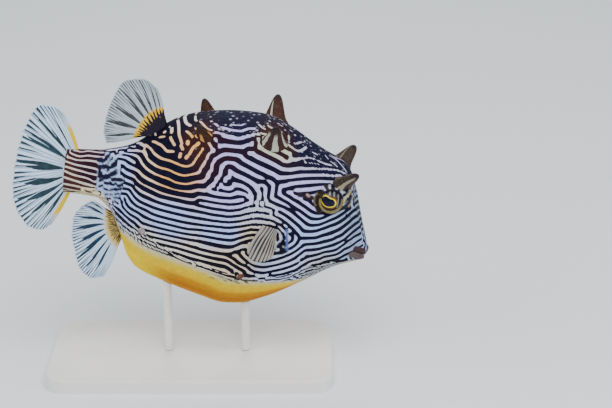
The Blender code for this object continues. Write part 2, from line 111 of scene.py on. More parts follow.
class SmoothLine:
    """A line through knots that is smooth and never overshoots between them."""

    def __init__(self, knots: Sequence[Flat]) -> None:
        """Works out the slopes at the knots.

        Args:
            knots: Pairs of place and value, in rising order of place.
        """
        self.xs = np.array([knot[0] for knot in knots], dtype=float)
        self.ys = np.array([knot[1] for knot in knots], dtype=float)
        slopes = np.diff(self.ys) / np.diff(self.xs)
        bends = [slopes[0]]
        for before, after in zip(slopes, slopes[1:]):
            bends.append(0.0 if before * after <= 0 else 2 * before * after / (before + after))
        bends.append(slopes[-1])
        self.bends = np.array(bends)

    def __call__(self, x: np.ndarray | float) -> np.ndarray:
        """The line's value; past the first and last knot it stays level.

        Args:
            x: One or many places.

        Returns:
            The values, in the shape of x.
        """
        x = np.clip(x, self.xs[0], self.xs[-1])
        i = np.clip(np.searchsorted(self.xs, x, side="right") - 1, 0, len(self.xs) - 2)
        h = self.xs[i + 1] - self.xs[i]
        t = (x - self.xs[i]) / h
        rise = (2 * t**3 - 3 * t**2 + 1) * self.ys[i] + (3 * t**2 - 2 * t**3) * self.ys[i + 1]
        return rise + h * ((t**3 - 2 * t**2 + t) * self.bends[i] + (t**3 - t**2) * self.bends[i + 1])


class SmoothPath:
    """A smooth path through places, run through from 0 to 1."""

    def __init__(self, points: Sequence[Sequence[float]]) -> None:
        """Spaces the points evenly along the run.

        Args:
            points: The places that the path passes.
        """
        last = len(points) - 1
        self.lines = [SmoothLine([(i / last, p[axis]) for i, p in enumerate(points)])
                      for axis in range(len(points[0]))]

    def __call__(self, share: np.ndarray | float) -> np.ndarray:
        """The places at one or many shares of the run."""
        return np.stack([line(share) for line in self.lines], axis=-1)


def blend(low: float, high: float, x: np.ndarray) -> np.ndarray:
    """A smooth step from 0 at low to 1 at high."""
    t = np.clip((x - low) / (high - low), 0.0, 1.0)
    return t * t * (3 - 2 * t)


@dataclass
class BodyForm:
    """The level outlines of the carapace and tail stalk, and how finely the skin is woven over them.

    Each line is pairs of (behind the snout, size) in millimetres.
    """

    back_line: tuple[Flat, ...] = (
        (0.6, 1.4), (3.3, 9.2), (6.6, 19.6), (9.4, 25.8), (13.0, 28.9), (17.0, 30.8), (24.0, 34.4),
        (30.0, 37.9), (36.0, 40.9), (43.0, 42.2), (50.0, 42.0), (60.0, 40.6), (68.0, 38.4), (74.0, 34.9),
        (80.0, 29.8), (85.0, 26.3), (90.0, 24.6), (96.0, 23.2), (108.0, 22.2))
    upper_ridge_line: tuple[Flat, ...] = (
        (0.6, 0.4), (3.3, 6.4), (6.6, 15.8), (9.4, 22.6), (13.0, 25.8), (20.0, 28.6), (30.0, 34.2),
        (38.0, 37.8), (46.0, 38.4), (60.0, 37.2), (70.0, 33.8), (78.0, 28.4), (86.0, 23.4), (94.0, 20.8),
        (108.0, 20.0))
    upper_ridge_out: tuple[Flat, ...] = (
        (0.6, 2.2), (3.3, 5.2), (6.6, 8.8), (11.0, 12.0), (16.0, 12.4), (38.0, 12.7), (50.0, 13.1),
        (62.0, 12.4), (72.0, 10.6), (80.0, 7.8), (88.0, 5.4), (96.0, 3.8), (108.0, 3.0))
    flank_out: tuple[Flat, ...] = (
        (0.6, 3.0), (4.0, 6.2), (8.0, 9.6), (14.0, 12.9), (22.0, 15.2), (32.0, 17.2), (46.0, 18.2),
        (60.0, 17.4), (72.0, 14.8), (82.0, 10.4), (90.0, 6.9), (97.0, 5.2), (108.0, 4.2))
    lower_ridge_line: tuple[Flat, ...] = (
        (0.6, -4.0), (8.0, -4.7), (18.0, -5.6), (30.0, -9.2), (42.0, -10.4), (56.0, -8.2), (68.0, -5.0),
        (78.0, -0.4), (86.0, 4.0), (94.0, 8.4), (108.0, 9.4))
    lower_ridge_out: tuple[Flat, ...] = (
        (0.6, 2.2), (5.0, 5.0), (12.0, 8.8), (20.0, 12.2), (32.0, 15.8), (46.0, 17.2), (60.0, 16.2),
        (72.0, 13.6), (82.0, 9.2), (90.0, 5.6), (98.0, 3.9), (108.0, 3.1))
    keel_line: tuple[Flat, ...] = (
        (0.6, -5.2), (9.8, -8.6), (20.8, -16.0), (33.3, -23.6), (42.0, -27.1), (48.0, -27.7), (56.0, -26.0),
        (72.2, -21.2), (79.0, -18.3), (82.8, -14.0), (86.0, -6.4), (90.0, 1.9), (96.0, 6.2), (108.0, 6.6))
    keel_power: float = 1.28
    upper_ridge_turn: float = 0.25
    lower_ridge_turn: float = 0.75
    ridge_crest: float = 0.35
    ridge_breadth: float = 0.03
    ridge_full_out: float = 12.0
    start: float = 0.9
    end: float = 106.6
    columns: int = 236
    front_density: float = 1.55
    front_until: float = 33.0
    rows: tuple[int, int, int] = (20, 132, 34)
    belly_crowding: float = 1.6

    def __post_init__(self) -> None:
        """Makes the smooth lines, and the columns and rows that the skin is woven on."""
        self.back, self.upper_high, self.upper_out = map(
            SmoothLine, (self.back_line, self.upper_ridge_line, self.upper_ridge_out))
        self.lower_high, self.lower_out = map(SmoothLine, (self.lower_ridge_line, self.lower_ridge_out))
        self.side_out, self.keel = map(SmoothLine, (self.flank_out, self.keel_line))
        trial = np.linspace(self.start, self.end, 1200)
        gauge = self.surface(trial[:, None], np.array([0.05, 0.25, 0.4, 0.55, 0.7])[None, :])
        steps = np.linalg.norm(np.diff(gauge, axis=0), axis=2).mean(axis=1)
        denser = 1 - blend(self.front_until - 3, self.front_until + 3, trial[1:])
        steps = steps * (1 + (self.front_density - 1) * denser)
        run = np.concatenate([[0.0], np.cumsum(steps)])
        self.stations = np.interp(np.linspace(0.0, run[-1], self.columns + 1), run, trial)
        on_back, on_flank, on_belly = self.rows
        half = np.concatenate([
            np.linspace(0.0, self.upper_ridge_turn, on_back + 1),
            np.linspace(self.upper_ridge_turn, self.lower_ridge_turn, on_flank + 1)[1:],
            self.lower_ridge_turn + (1 - self.lower_ridge_turn)
            * np.linspace(0.0, 1.0, on_belly + 1)[1:] ** self.belly_crowding])
        self.half_turns = half
        self.turns = np.concatenate([-half[:0:-1], half])

    def surface(self, behind: np.ndarray, turn: np.ndarray) -> np.ndarray:
        """Places of the skin in the fish's own frame, in millimetres.

        Args:
            behind: Distances behind the snout.
            turn: Turns of the girth, from -1 (keel) over 0 (back) to 1 (keel); the right side is below 0.

        Returns:
            An array of places with the shape of the two arguments together.
        """
        behind, turn = np.broadcast_arrays(np.asarray(behind, dtype=float), np.asarray(turn, dtype=float))
        side, turn = np.where(turn >= 0, 1.0, -1.0), np.abs(turn)
        back, high, out = self.back(behind), self.upper_high(behind), self.upper_out(behind)
        low, low_out, bulge_out = self.lower_high(behind), self.lower_out(behind), self.side_out(behind)
        over = turn / self.upper_ridge_turn
        down = (turn - self.upper_ridge_turn) / (self.lower_ridge_turn - self.upper_ridge_turn)
        under = np.clip((turn - self.lower_ridge_turn) / (1 - self.lower_ridge_turn), 0.0, 1.0) * pi / 2
        bulge = (bulge_out - (out + low_out) / 2) * np.sin(pi * np.clip(down, 0.0, 1.0))
        on_back, on_flank = turn <= self.upper_ridge_turn, turn <= self.lower_ridge_turn
        round_keel = np.maximum(np.cos(under), 0.0) ** (2 / self.keel_power)
        drop = np.sin(under) ** (2 / self.keel_power)
        outs = np.select([on_back, on_flank], [out * over, out + (low_out - out) * down + bulge],
                         low_out * round_keel)
        highs = np.select([on_back, on_flank], [back - (back - high) * over**2, high + (low - high) * down],
                          low - (low - self.keel(behind)) * drop)
        ridges = (self.upper_ridge_turn, self.lower_ridge_turn)
        crest = sum(np.exp(-(((turn - at) / self.ridge_breadth) ** 2)) for at in ridges)
        outs = outs + self.ridge_crest * crest * np.minimum(1.0, bulge_out / self.ridge_full_out)
        return np.stack([behind, side * outs, highs], axis=-1)

    def flank_turn(self, behind: np.ndarray | float, high: np.ndarray | float) -> np.ndarray:
        """The turn of the girth at which the side has this height, on the flank or below the lower ridge.

        Args:
            behind: Distances behind the snout.
            high: Heights.

        Returns:
            The turns.
        """
        top, low, keel = self.upper_high(behind), self.lower_high(behind), self.keel(behind)
        flank_turns = self.lower_ridge_turn - self.upper_ridge_turn
        on_flank = self.upper_ridge_turn + (top - high) / (top - low) * flank_turns
        drop = np.clip((low - high) / (low - keel), 0.0, 1.0)
        below = np.arcsin(drop ** (self.keel_power / 2)) / (pi / 2)
        return np.where(high < low, self.lower_ridge_turn + (1 - self.lower_ridge_turn) * below, on_flank)

    def on_flank(self, behind: np.ndarray | float, high: np.ndarray | float) -> np.ndarray:
        """Places of the left flank at these distances behind the snout and these heights."""
        return self.surface(behind, self.flank_turn(behind, high))


class Zone(Enum):
    """The parts of the skin on which a mark can be drawn."""

    FLANK = "flank"
    GIRTH = "girth"


@dataclass(frozen=True)
class Mark:
    """A line of the markings.

    Its points are (behind, high) on the flank, or (behind, hundredths of a turn of the girth from the back
    down).
    """

    points: tuple[Flat, ...]
    zone: Zone = Zone.FLANK
    breadth: float = 0.9

    def sampled(self, form: BodyForm, step: float = 0.3) -> np.ndarray:
        """Places along the mark on the skin of the left side.

        Args:
            form: The body that the mark lies on.
            step: About how far apart the places are, in millimetres.

        Returns:
            An array of places in the fish's own frame.
        """
        corners = np.array(self.points)
        runs = np.concatenate([[0.0], np.cumsum(np.linalg.norm(np.diff(corners, axis=0), axis=1))])
        knots = [SmoothLine(list(zip(runs, corners[:, axis]))) for axis in (0, 1)]
        along = np.linspace(0.0, runs[-1], max(2, int(runs[-1] / step) + 1))
        first, second = knots[0](along), knots[1](along)
        return form.on_flank(first, second) if self.zone is Zone.FLANK else form.surface(first, second / 100)


@dataclass(frozen=True)
class Stroke:
    """A touch of one colour over the stripes, along points of the girth as a mark has them."""

    points: tuple[Flat, ...]
    breadth: float
    tone: Rgb

    def sampled(self, form: BodyForm) -> np.ndarray:
        """Places along the stroke on the skin of the left side."""
        return Mark(self.points, Zone.GIRTH).sampled(form, 0.15)


@dataclass(frozen=True)
class Patch:
    """How the markings look about one place of the skin, given as (behind the snout, turn of the girth)."""

    behind: float
    turn: float
    spacing: float
    dark_share: float
    light: Rgb
    dark: Rgb


def weight_places(places: np.ndarray, patches: Sequence[Patch], form: BodyForm,
                  reach: float = 3.0) -> np.ndarray:
    """How much each patch counts at each place, adding up to one.

    Args:
        places: Places of the skin on the left side, in millimetres.
        patches: The patches.
        form: The body that they lie on.
        reach: A distance below which a patch no longer gains.

    Returns:
        An array of weights, one column for each patch.
    """
    middles = np.stack([form.surface(p.behind, p.turn) for p in patches])
    apart = np.linalg.norm(places[:, None, :] - middles[None, :, :], axis=2)
    weights = (apart**2 + reach**2) ** -2.5
    return weights / weights.sum(axis=1, keepdims=True)


# Ends of the sides of a net: all but the last, all but the first, and all
NEAR, FAR, ALL = slice(None, -1), slice(1, None), slice(None)


class Weave:
    """The skin's net of places on one side, and how a value spreads over it."""

    boldness: float = 1.1
    bound: float = 1.6
    steepest_pulls: Flat = (-3.0, 20.0)

    def __init__(self, net: np.ndarray) -> None:
        """Works out how strongly neighbours in the net pull on each other.

        Args:
            net: Places by column and row, in millimetres.
        """
        self.net = net
        shape = net.shape[:2]
        self.areas = np.zeros(shape)
        self.along = np.zeros((shape[0] - 1, shape[1]))
        self.round = np.zeros((shape[0], shape[1] - 1))
        self.rising = np.zeros((shape[0] - 1, shape[1] - 1))
        self.falling = np.zeros((shape[0] - 1, shape[1] - 1))
        a, b, c, d = net[:-1, :-1], net[1:, :-1], net[1:, 1:], net[:-1, 1:]
        self._triangle((a, b, c), ((NEAR, NEAR), (FAR, NEAR), (FAR, FAR)),
                       (self.round[FAR], self.rising, self.along[:, NEAR]))
        self._triangle((a, c, d), ((NEAR, NEAR), (FAR, FAR), (NEAR, FAR)),
                       (self.along[:, FAR], self.round[NEAR], self.rising))
        self._triangle((a, b, d), ((NEAR, NEAR), (FAR, NEAR), (NEAR, FAR)),
                       (self.falling, self.round[NEAR], self.along[:, NEAR]))
        self._triangle((b, c, d), ((FAR, NEAR), (FAR, FAR), (NEAR, FAR)),
                       (self.along[:, FAR], self.falling, self.round[FAR]))

    def _triangle(self, corners: tuple, at: tuple, opposite: tuple) -> None:
        """Adds one triangle of every mesh of the net.

        Args:
            corners: The places of its three corners, for all meshes at once.
            at: Where each corner stands in the net.
            opposite: The pulls along the side opposite each corner, which are added to.
        """
        for k in range(3):
            here, left, right = corners[k], corners[(k + 1) % 3], corners[(k + 2) % 3]
            u, v = left - here, right - here
            double = np.maximum(np.linalg.norm(np.cross(u, v), axis=2), 1e-9)
            opposite[k][...] += np.clip((u * v).sum(axis=2) / double, *self.steepest_pulls) / 4
            self.areas[at[k]] += double / 12

    def spread(self, value: np.ndarray) -> np.ndarray:
        """How a value flows between neighbours in the net, as the Laplacian on the surface.

        Args:
            value: The value by column and row.

        Returns:
            Its change at each place, for each square millimetre.
        """
        flow = np.zeros_like(value)
        for pull, start, end in ((self.along, (NEAR, ALL), (FAR, ALL)),
                                 (self.round, (ALL, NEAR), (ALL, FAR)),
                                 (self.rising, (NEAR, NEAR), (FAR, FAR)),
                                 (self.falling, (FAR, NEAR), (NEAR, FAR))):
            passed = pull * (value[end] - value[start])
            flow[start] += passed
            flow[end] -= passed
        return flow / self.areas

    def settle(self, value: np.ndarray, spacing: np.ndarray, pins: np.ndarray, targets: np.ndarray,
               steps: int, drive: float = 0.55) -> np.ndarray:
        """Lets bands of a given spacing form out of a first guess, as they do in a growing skin.

        Args:
            value: The first guess, about -1 on dark lines and 1 on light ones.
            spacing: The distance from one dark line to the next, in millimetres.
            pins: How strongly each place is held to its target.
            targets: The held values.
            steps: How many rounds are run.
            drive: How strongly the bands form.

        Returns:
            The settled value, about -1 to 1.
        """
        tight = (spacing / (2 * pi)) ** 2
        total = np.zeros_like(value)
        for end in (NEAR, FAR):
            total[end] += np.abs(self.along)
            total[:, end] += np.abs(self.round)
        stiff = (2 * total / self.areas * tight - 1) ** 2 + 2 * drive + pins
        pace = self.boldness / np.maximum(stiff, 1.0)
        for _ in range(steps):
            once = value + tight * self.spread(value)
            twice = once + tight * self.spread(once)
            value = value + pace * (drive * value - twice - value**3 + pins * (targets - value))
            value = np.clip(value, -self.bound, self.bound)
        return value / (4 * drive / 3) ** 0.5


def brightened(tone: Rgb, by: float) -> Rgb:
    """A tone made brighter, up to white."""
    return tuple(min(1.0, c * by) for c in tone)


class Shader:
    """A material while it is being wired, with short calls for the nodes that the finishes share."""

    def __init__(self, name: str) -> None:
        """Starts a material with its main shader.

        Args:
            name: The name of the material.
        """
        self.material = bpy.data.materials.new(name)
        self.material.use_nodes = True
        self.tree = self.material.node_tree
        self.surface = self.tree.nodes["Principled BSDF"]

    def feed(self, socket: bpy.types.NodeSocket, value: object) -> None:
        """Sets a socket to a plain value or joins another node's output to it.

        Args:
            socket: The input socket.
            value: A number, a colour, or the output of another node.
        """
        if isinstance(value, bpy.types.NodeSocket):
            self.tree.links.new(value, socket)
        elif isinstance(value, tuple) and len(value) == 3 and socket.type == "RGBA":
            socket.default_value = (*value, 1.0)
        else:
            socket.default_value = value

    def node(self, kind: str, inputs: dict | None = None, **settings: object) -> bpy.types.Node:
        """Adds a node.

        Args:
            kind: The node's type, without the words ShaderNode.
            inputs: Values or outputs for its inputs, by name or number.
            settings: The node's own settings.

        Returns:
            The node.
        """
        made = self.tree.nodes.new("ShaderNode" + kind)
        for key, value in settings.items():
            setattr(made, key, value)
        for key, value in (inputs or {}).items():
            self.feed(made.inputs[key], value)
        return made

    def set(self, **inputs: object) -> None:
        """Sets inputs of the main shader, with underscores for the blanks in their names."""
        for key, value in inputs.items():
            self.feed(self.surface.inputs[key.replace("_", " ")], value)

    def value_of(self, name: str) -> bpy.types.NodeSocket:
        """A number that the mesh carries under this name."""
        return self.node("Attribute", attribute_name=name).outputs["Fac"]

    def colour_of(self, name: str) -> bpy.types.NodeSocket:
        """A colour that the mesh carries under this name."""
        return self.node("Attribute", attribute_name=name).outputs["Color"]

    def place(self) -> bpy.types.NodeSocket:
        """The place on the object, in metres."""
        return self.node("TexCoord").outputs["Object"]

    def maths(self, operation: str, *values: object) -> bpy.types.NodeSocket:
        """One sum on numbers."""
        return self.node("Math", dict(enumerate(values)), operation=operation).outputs[0]

    def noise(self, scale: float, detail: float = 3.0, roughness: float = 0.55) -> bpy.types.NodeSocket:
        """Soft noise of so many lumps to the metre."""
        inputs = {"Vector": self.place(), "Scale": scale, "Detail": detail, "Roughness": roughness}
        return self.node("TexNoise", inputs).outputs["Fac"]

    def cells(self, scale: float, feature: str = "F1") -> bpy.types.NodeSocket:
        """The distance pattern of a net of cells."""
        inputs = {"Vector": self.place(), "Scale": scale}
        return self.node("TexVoronoi", inputs, feature=feature).outputs["Distance"]

    def step(self, value: object, low: float, high: float, to_low: float = 0.0,
             to_high: float = 1.0) -> bpy.types.NodeSocket:
        """A smooth step of a value, from to_low at low to to_high at high."""
        inputs = {"Value": value, "From Min": low, "From Max": high, "To Min": to_low, "To Max": to_high}
        return self.node("MapRange", inputs, interpolation_type="SMOOTHSTEP").outputs["Result"]

    def mix(self, factor: object, first: object, second: object,
            blend_type: str = "MIX") -> bpy.types.NodeSocket:
        """A mix of two colours.

        Args:
            factor: How far the second covers the first.
            first: The first colour.
            second: The second colour.
            blend_type: How they are mixed.

        Returns:
            The mixed colour.
        """
        made = self.node("Mix", data_type="RGBA", blend_type=blend_type)
        for socket, value in zip((made.inputs[0], made.inputs[6], made.inputs[7]), (factor, first, second)):
            self.feed(socket, value)
        return made.outputs[2]

    def bump(self, height: object, distance: float, strength: float = 1.0,
             over: bpy.types.NodeSocket | None = None) -> bpy.types.NodeSocket:
        """Fine relief for the main shader's normal.

        Args:
            height: The relief, from 0 to 1.
            distance: How deep it is, in metres.
            strength: How strongly it shows.
            over: A normal that it lies on top of.

        Returns:
            The normal.
        """
        inputs = {"Height": height, "Distance": distance, "Strength": strength}
        if over:
            inputs["Normal"] = over
        return self.node("Bump", inputs).outputs["Normal"]


@dataclass(frozen=True)
class SkinFinish:
    """Striped skin: dark and light by the woven value, plain below, and finely granular."""

    name: str = "striped_skin"
    edge: float = 0.16
    roughness: float = 0.62
    grain: float = 0.00004
    fleck: Rgb = (0.34, 0.33, 0.40)

    def material(self) -> bpy.types.Material:
        """Wires the skin's material.

        Returns:
            The material.
        """
        s = Shader(self.name)
        wander = s.maths("MULTIPLY_ADD", s.noise(2600.0, 2.0), 0.24, -0.12)
        gaps = s.maths("MULTIPLY_ADD", s.noise(1150.0, 1.0), 2.4, -1.1)
        broken = s.maths("MULTIPLY", s.value_of("beads"), gaps)
        stripe = s.maths("ADD", s.maths("ADD", s.value_of("stripe"), wander), broken)
        light_share = s.step(stripe, -self.edge, self.edge)
        mottle = s.step(s.noise(900.0, 4.0), 0.3, 0.7, 0.86, 1.08)
        light = s.mix(1.0, s.colour_of("light_tone"), mottle, "MULTIPLY")
        dark = s.mix(s.step(s.noise(420.0, 3.0), 0.35, 0.7), s.colour_of("dark_tone"),
                     s.mix(0.5, s.colour_of("dark_tone"), (0.007, 0.008, 0.026)))
        large, small = s.step(s.cells(480.0), 0.30, 0.16), s.step(s.cells(1000.0), 0.22, 0.05, 0.0, 0.6)
        flecks = s.maths("MAXIMUM", large, small)
        flecks = s.maths("MULTIPLY", flecks, s.step(s.noise(330.0, 2.0), 0.30, 0.46))
        dark = s.mix(s.maths("MULTIPLY", flecks, s.value_of("bloom")), dark, self.fleck)
        striped = s.mix(light_share, dark, light)
        cloud = s.step(s.noise(500.0, 4.0), 0.3, 0.7, 0.9, 1.06)
        bare = s.mix(1.0, s.colour_of("bare_tone"), cloud, "MULTIPLY")
        whole = s.mix(s.value_of("bare"), striped, bare)
        stroke = s.mix(1.0, s.colour_of("stroke_tone"), mottle, "MULTIPLY")
        s.set(Base_Color=s.mix(s.value_of("stroke"), whole, stroke))
        plates = s.bump(s.cells(1500.0), self.grain)
        s.set(Roughness=s.step(s.noise(1300.0), 0.3, 0.7, self.roughness - 0.05, self.roughness + 0.1),
              Normal=s.bump(s.noise(5200.0, 3.0), self.grain * 0.8, over=plates), Specular_IOR_Level=0.05)
        return s.material


@dataclass(frozen=True)
class EyeFinish:
    """A wet eye under striped lid skin: dark blue pupil, thin yellow ring, brown iris."""

    name: str = "wet_eye"
    pupil: Rgb = (0.002, 0.003, 0.022)
    pupil_deep: Rgb = (0.0006, 0.0006, 0.004)
    ring: Rgb = (0.76, 0.66, 0.01)
    iris: Rgb = (0.07, 0.025, 0.006)
    rim: Rgb = (0.030, 0.018, 0.010)
    lid_dark: Rgb = (0.008, 0.010, 0.032)
    lid_pale: Rgb = (0.20, 0.20, 0.17)
    lid_from: Flat = (0.0, 0.35)
    lid_spacing: float = 1.5

    def material(self) -> bpy.types.Material:
        """Wires the eye's material.

        Returns:
            The material.
        """
        s = Shader(self.name)
        frayed = s.maths("MULTIPLY_ADD", s.noise(1500.0), 0.16, -0.08)
        beyond = s.maths("ADD", s.value_of("beyond_pupil"), frayed)
        pupil = s.mix(s.step(s.noise(700.0), 0.3, 0.7), self.pupil_deep, self.pupil)
        ring = s.mix(s.step(s.noise(2400.0), 0.35, 0.75), self.ring, (0.78, 0.52, 0.0))
        iris = s.mix(s.step(s.noise(2000.0), 0.3, 0.7), self.iris, (0.20, 0.08, 0.01))
        colour = s.mix(s.step(beyond, -0.04, 0.05), pupil, ring)
        colour = s.mix(s.step(beyond, 0.28, 0.40), colour, iris)
        colour = s.mix(s.step(beyond, 0.60, 0.95), colour, self.rim)
        bands = s.maths("SINE", s.maths("MULTIPLY_ADD", s.value_of("ahead"), 2 * pi / self.lid_spacing, 0.6))
        lid = s.mix(s.step(bands, 0.15, 0.6), self.lid_dark, self.lid_pale)
        colour = s.mix(s.step(s.value_of("lid"), *self.lid_from), colour, lid)
        s.set(Base_Color=colour, Roughness=0.3, Specular_IOR_Level=0.15, Coat_Weight=0.1,
              Coat_Roughness=0.04)
        return s.material


@dataclass(frozen=True)
class ThornFinish:
    """Maroon-brown horn: pale streaks on its outer side, a pale line on the inner side and a dark tip."""

    name: str
    base: Rgb = (0.085, 0.032, 0.026)
    streak: Rgb = (0.60, 0.50, 0.42)
    streaks: float = 3.0
    streak_share: float = 0.3
    top: float = 0.75
    line_at: float = -0.30
    line: float = 0.8

    def material(self) -> bpy.types.Material:
        """Wires the thorn's material.

        Returns:
            The material.
        """
        s = Shader(self.name)
        wave = s.maths("SINE", s.maths("MULTIPLY_ADD", s.value_of("about"), self.streaks * 2 * pi,
                                       s.maths("MULTIPLY", s.noise(450.0), 1.6)))
        height = s.value_of("up")
        outer = s.step(s.maths("SINE", s.maths("MULTIPLY", s.value_of("about"), 2 * pi)), -0.15, 0.25)
        streak_from = 1 - 2 * self.streak_share
        streak = s.maths("MULTIPLY", s.step(wave, streak_from, streak_from + 0.15), outer)
        leaning = s.maths("MULTIPLY_ADD", height, 0.10, s.value_of("about"))
        aside = s.maths("ABSOLUTE", s.maths("SUBTRACT", leaning, self.line_at))
        streak = s.maths("MAXIMUM", streak, s.step(aside, 0.022, 0.010, 0.0, self.line))
        streak = s.maths("MULTIPLY", streak, s.step(height, self.top, self.top - 0.25))
        base = s.mix(s.step(s.noise(800.0, 4.0), 0.35, 0.7), self.base, brightened(self.base, 1.7))
        base = s.mix(s.step(height, 0.6, 1.0), base, (0.014, 0.009, 0.010))
        specks = s.step(s.cells(1300.0), 0.22, 0.1)
        base = s.mix(s.maths("MULTIPLY", specks, 0.45), base, (0.30, 0.17, 0.08))
        s.set(Base_Color=s.mix(streak, base, self.streak), Roughness=0.45,
              Normal=s.bump(s.noise(2500.0, 4.0), 0.00008), Specular_IOR_Level=0.15)
        return s.material


@dataclass(frozen=True)
class FinFinish:
    """Thin webbed skin between branching pale rays, on a spotted fleshy foot."""

    name: str
    ray: Rgb = (0.58, 0.72, 0.90)
    shade: Rgb = (0.17, 0.27, 0.40)
    fine: float = 239.0
    web: Rgb = (0.010, 0.026, 0.036)
    web_cover: float = 0.94
    edge: Rgb = (0.70, 0.48, 0.0)
    foot: Rgb = (0.60, 0.42, 0.06)
    spot: Rgb = (0.020, 0.009, 0.012)
    spots: float = 0.9
    streaks: float = 110.0
    spots_from: float = 1.05

    def material(self) -> bpy.types.Material:
        """Wires the fin's material.

        Returns:
            The material.
        """
        s = Shader(self.name)
        ray = s.maths("ADD", s.value_of("ray"), s.maths("MULTIPLY_ADD", s.noise(2200.0, 2.0), 0.2, -0.1))
        pale = s.mix(s.step(s.noise(600.0, 4.0), 0.3, 0.7), self.ray, brightened(self.ray, 1.1))
        web = s.mix(s.step(s.noise(500.0, 3.0), 0.3, 0.75), self.web, brightened(self.web, 2.2))
        between = s.maths("SINE", s.maths("MULTIPLY", s.value_of("across"), self.fine))
        pale = s.mix(s.step(between, -0.1, 1.0, 0.0, 0.75), pale, self.shade)
        share = s.step(ray, 0.36, 0.62)
        colour = s.mix(share, web, pale)
        colour = s.mix(s.value_of("edge"), colour, self.edge)
        foot = s.mix(s.step(s.noise(700.0, 3.0), 0.35, 0.65), self.foot, brightened(self.foot, 1.25))
        radial = s.maths("SINE", s.maths("MULTIPLY", s.value_of("across"), self.streaks))
        dark = s.maths("ADD", s.maths("MULTIPLY_ADD", radial, 0.34, s.noise(900.0, 2.0)), s.value_of("deep"))
        blots = s.maths("MULTIPLY", s.step(dark, self.spots_from, self.spots_from + 0.12), self.spots)
        colour = s.mix(s.value_of("foot"), colour, s.mix(blots, foot, self.spot))
        solid = s.maths("MAXIMUM", share, s.value_of("foot"))
        s.set(Base_Color=colour, Roughness=0.42, Alpha=s.step(solid, 0.0, 1.0, self.web_cover, 1.0),
              Normal=s.bump(s.noise(3000.0, 3.0), 0.00004), Specular_IOR_Level=0.15)
        return s.material


@dataclass(frozen=True)
class StandFinish:
    """Satin pale board or rod, with the faintest cloud in it."""

    name: str
    tone: Rgb = (0.80, 0.79, 0.76)
    roughness: float = 0.38

    def material(self) -> bpy.types.Material:
        """Wires the stand's material.

        Returns:
            The material.
        """
        s = Shader(self.name)
        cloud = s.step(s.noise(60.0, 5.0), 0.3, 0.7, 0.96, 1.02)
        s.set(Base_Color=s.mix(1.0, self.tone, cloud, "MULTIPLY"),
              Roughness=s.step(s.noise(220.0, 4.0), 0.3, 0.7, self.roughness - 0.05, self.roughness + 0.08),
              Normal=s.bump(s.noise(1800.0, 2.0), 0.00001))
        return s.material


def finish_piece(bm: bmesh.types.BMesh, name: str, material: bpy.types.Material, slot: Slot,
                 replaced: Sequence[str] = ()) -> bpy.types.Object:
    """Turns a mesh into a piece of the fish that rides on its one body.

    Args:
        bm: The mesh, already in its place; it is freed.
        name: The name of the piece.
        material: Its finish.
        slot: The record's slot for the piece; it is not used.
        replaced: The nodes of the solids that it stands for.

    Returns:
        The piece.
    """
    for face in bm.faces:
        face.smooth = True
    mesh = bpy.data.meshes.new(name)
    bm.to_mesh(mesh)
    bm.free()
    mesh.materials.append(material)
    obj = bpy.data.objects.new(name, mesh)
    bpy.context.scene.collection.objects.link(obj)
    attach(obj, "root")
    if replaced:
        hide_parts(*replaced)
    LOG.info("%s: %d triangles", name, sum(len(face.vertices) - 2 for face in mesh.polygons))
    return obj


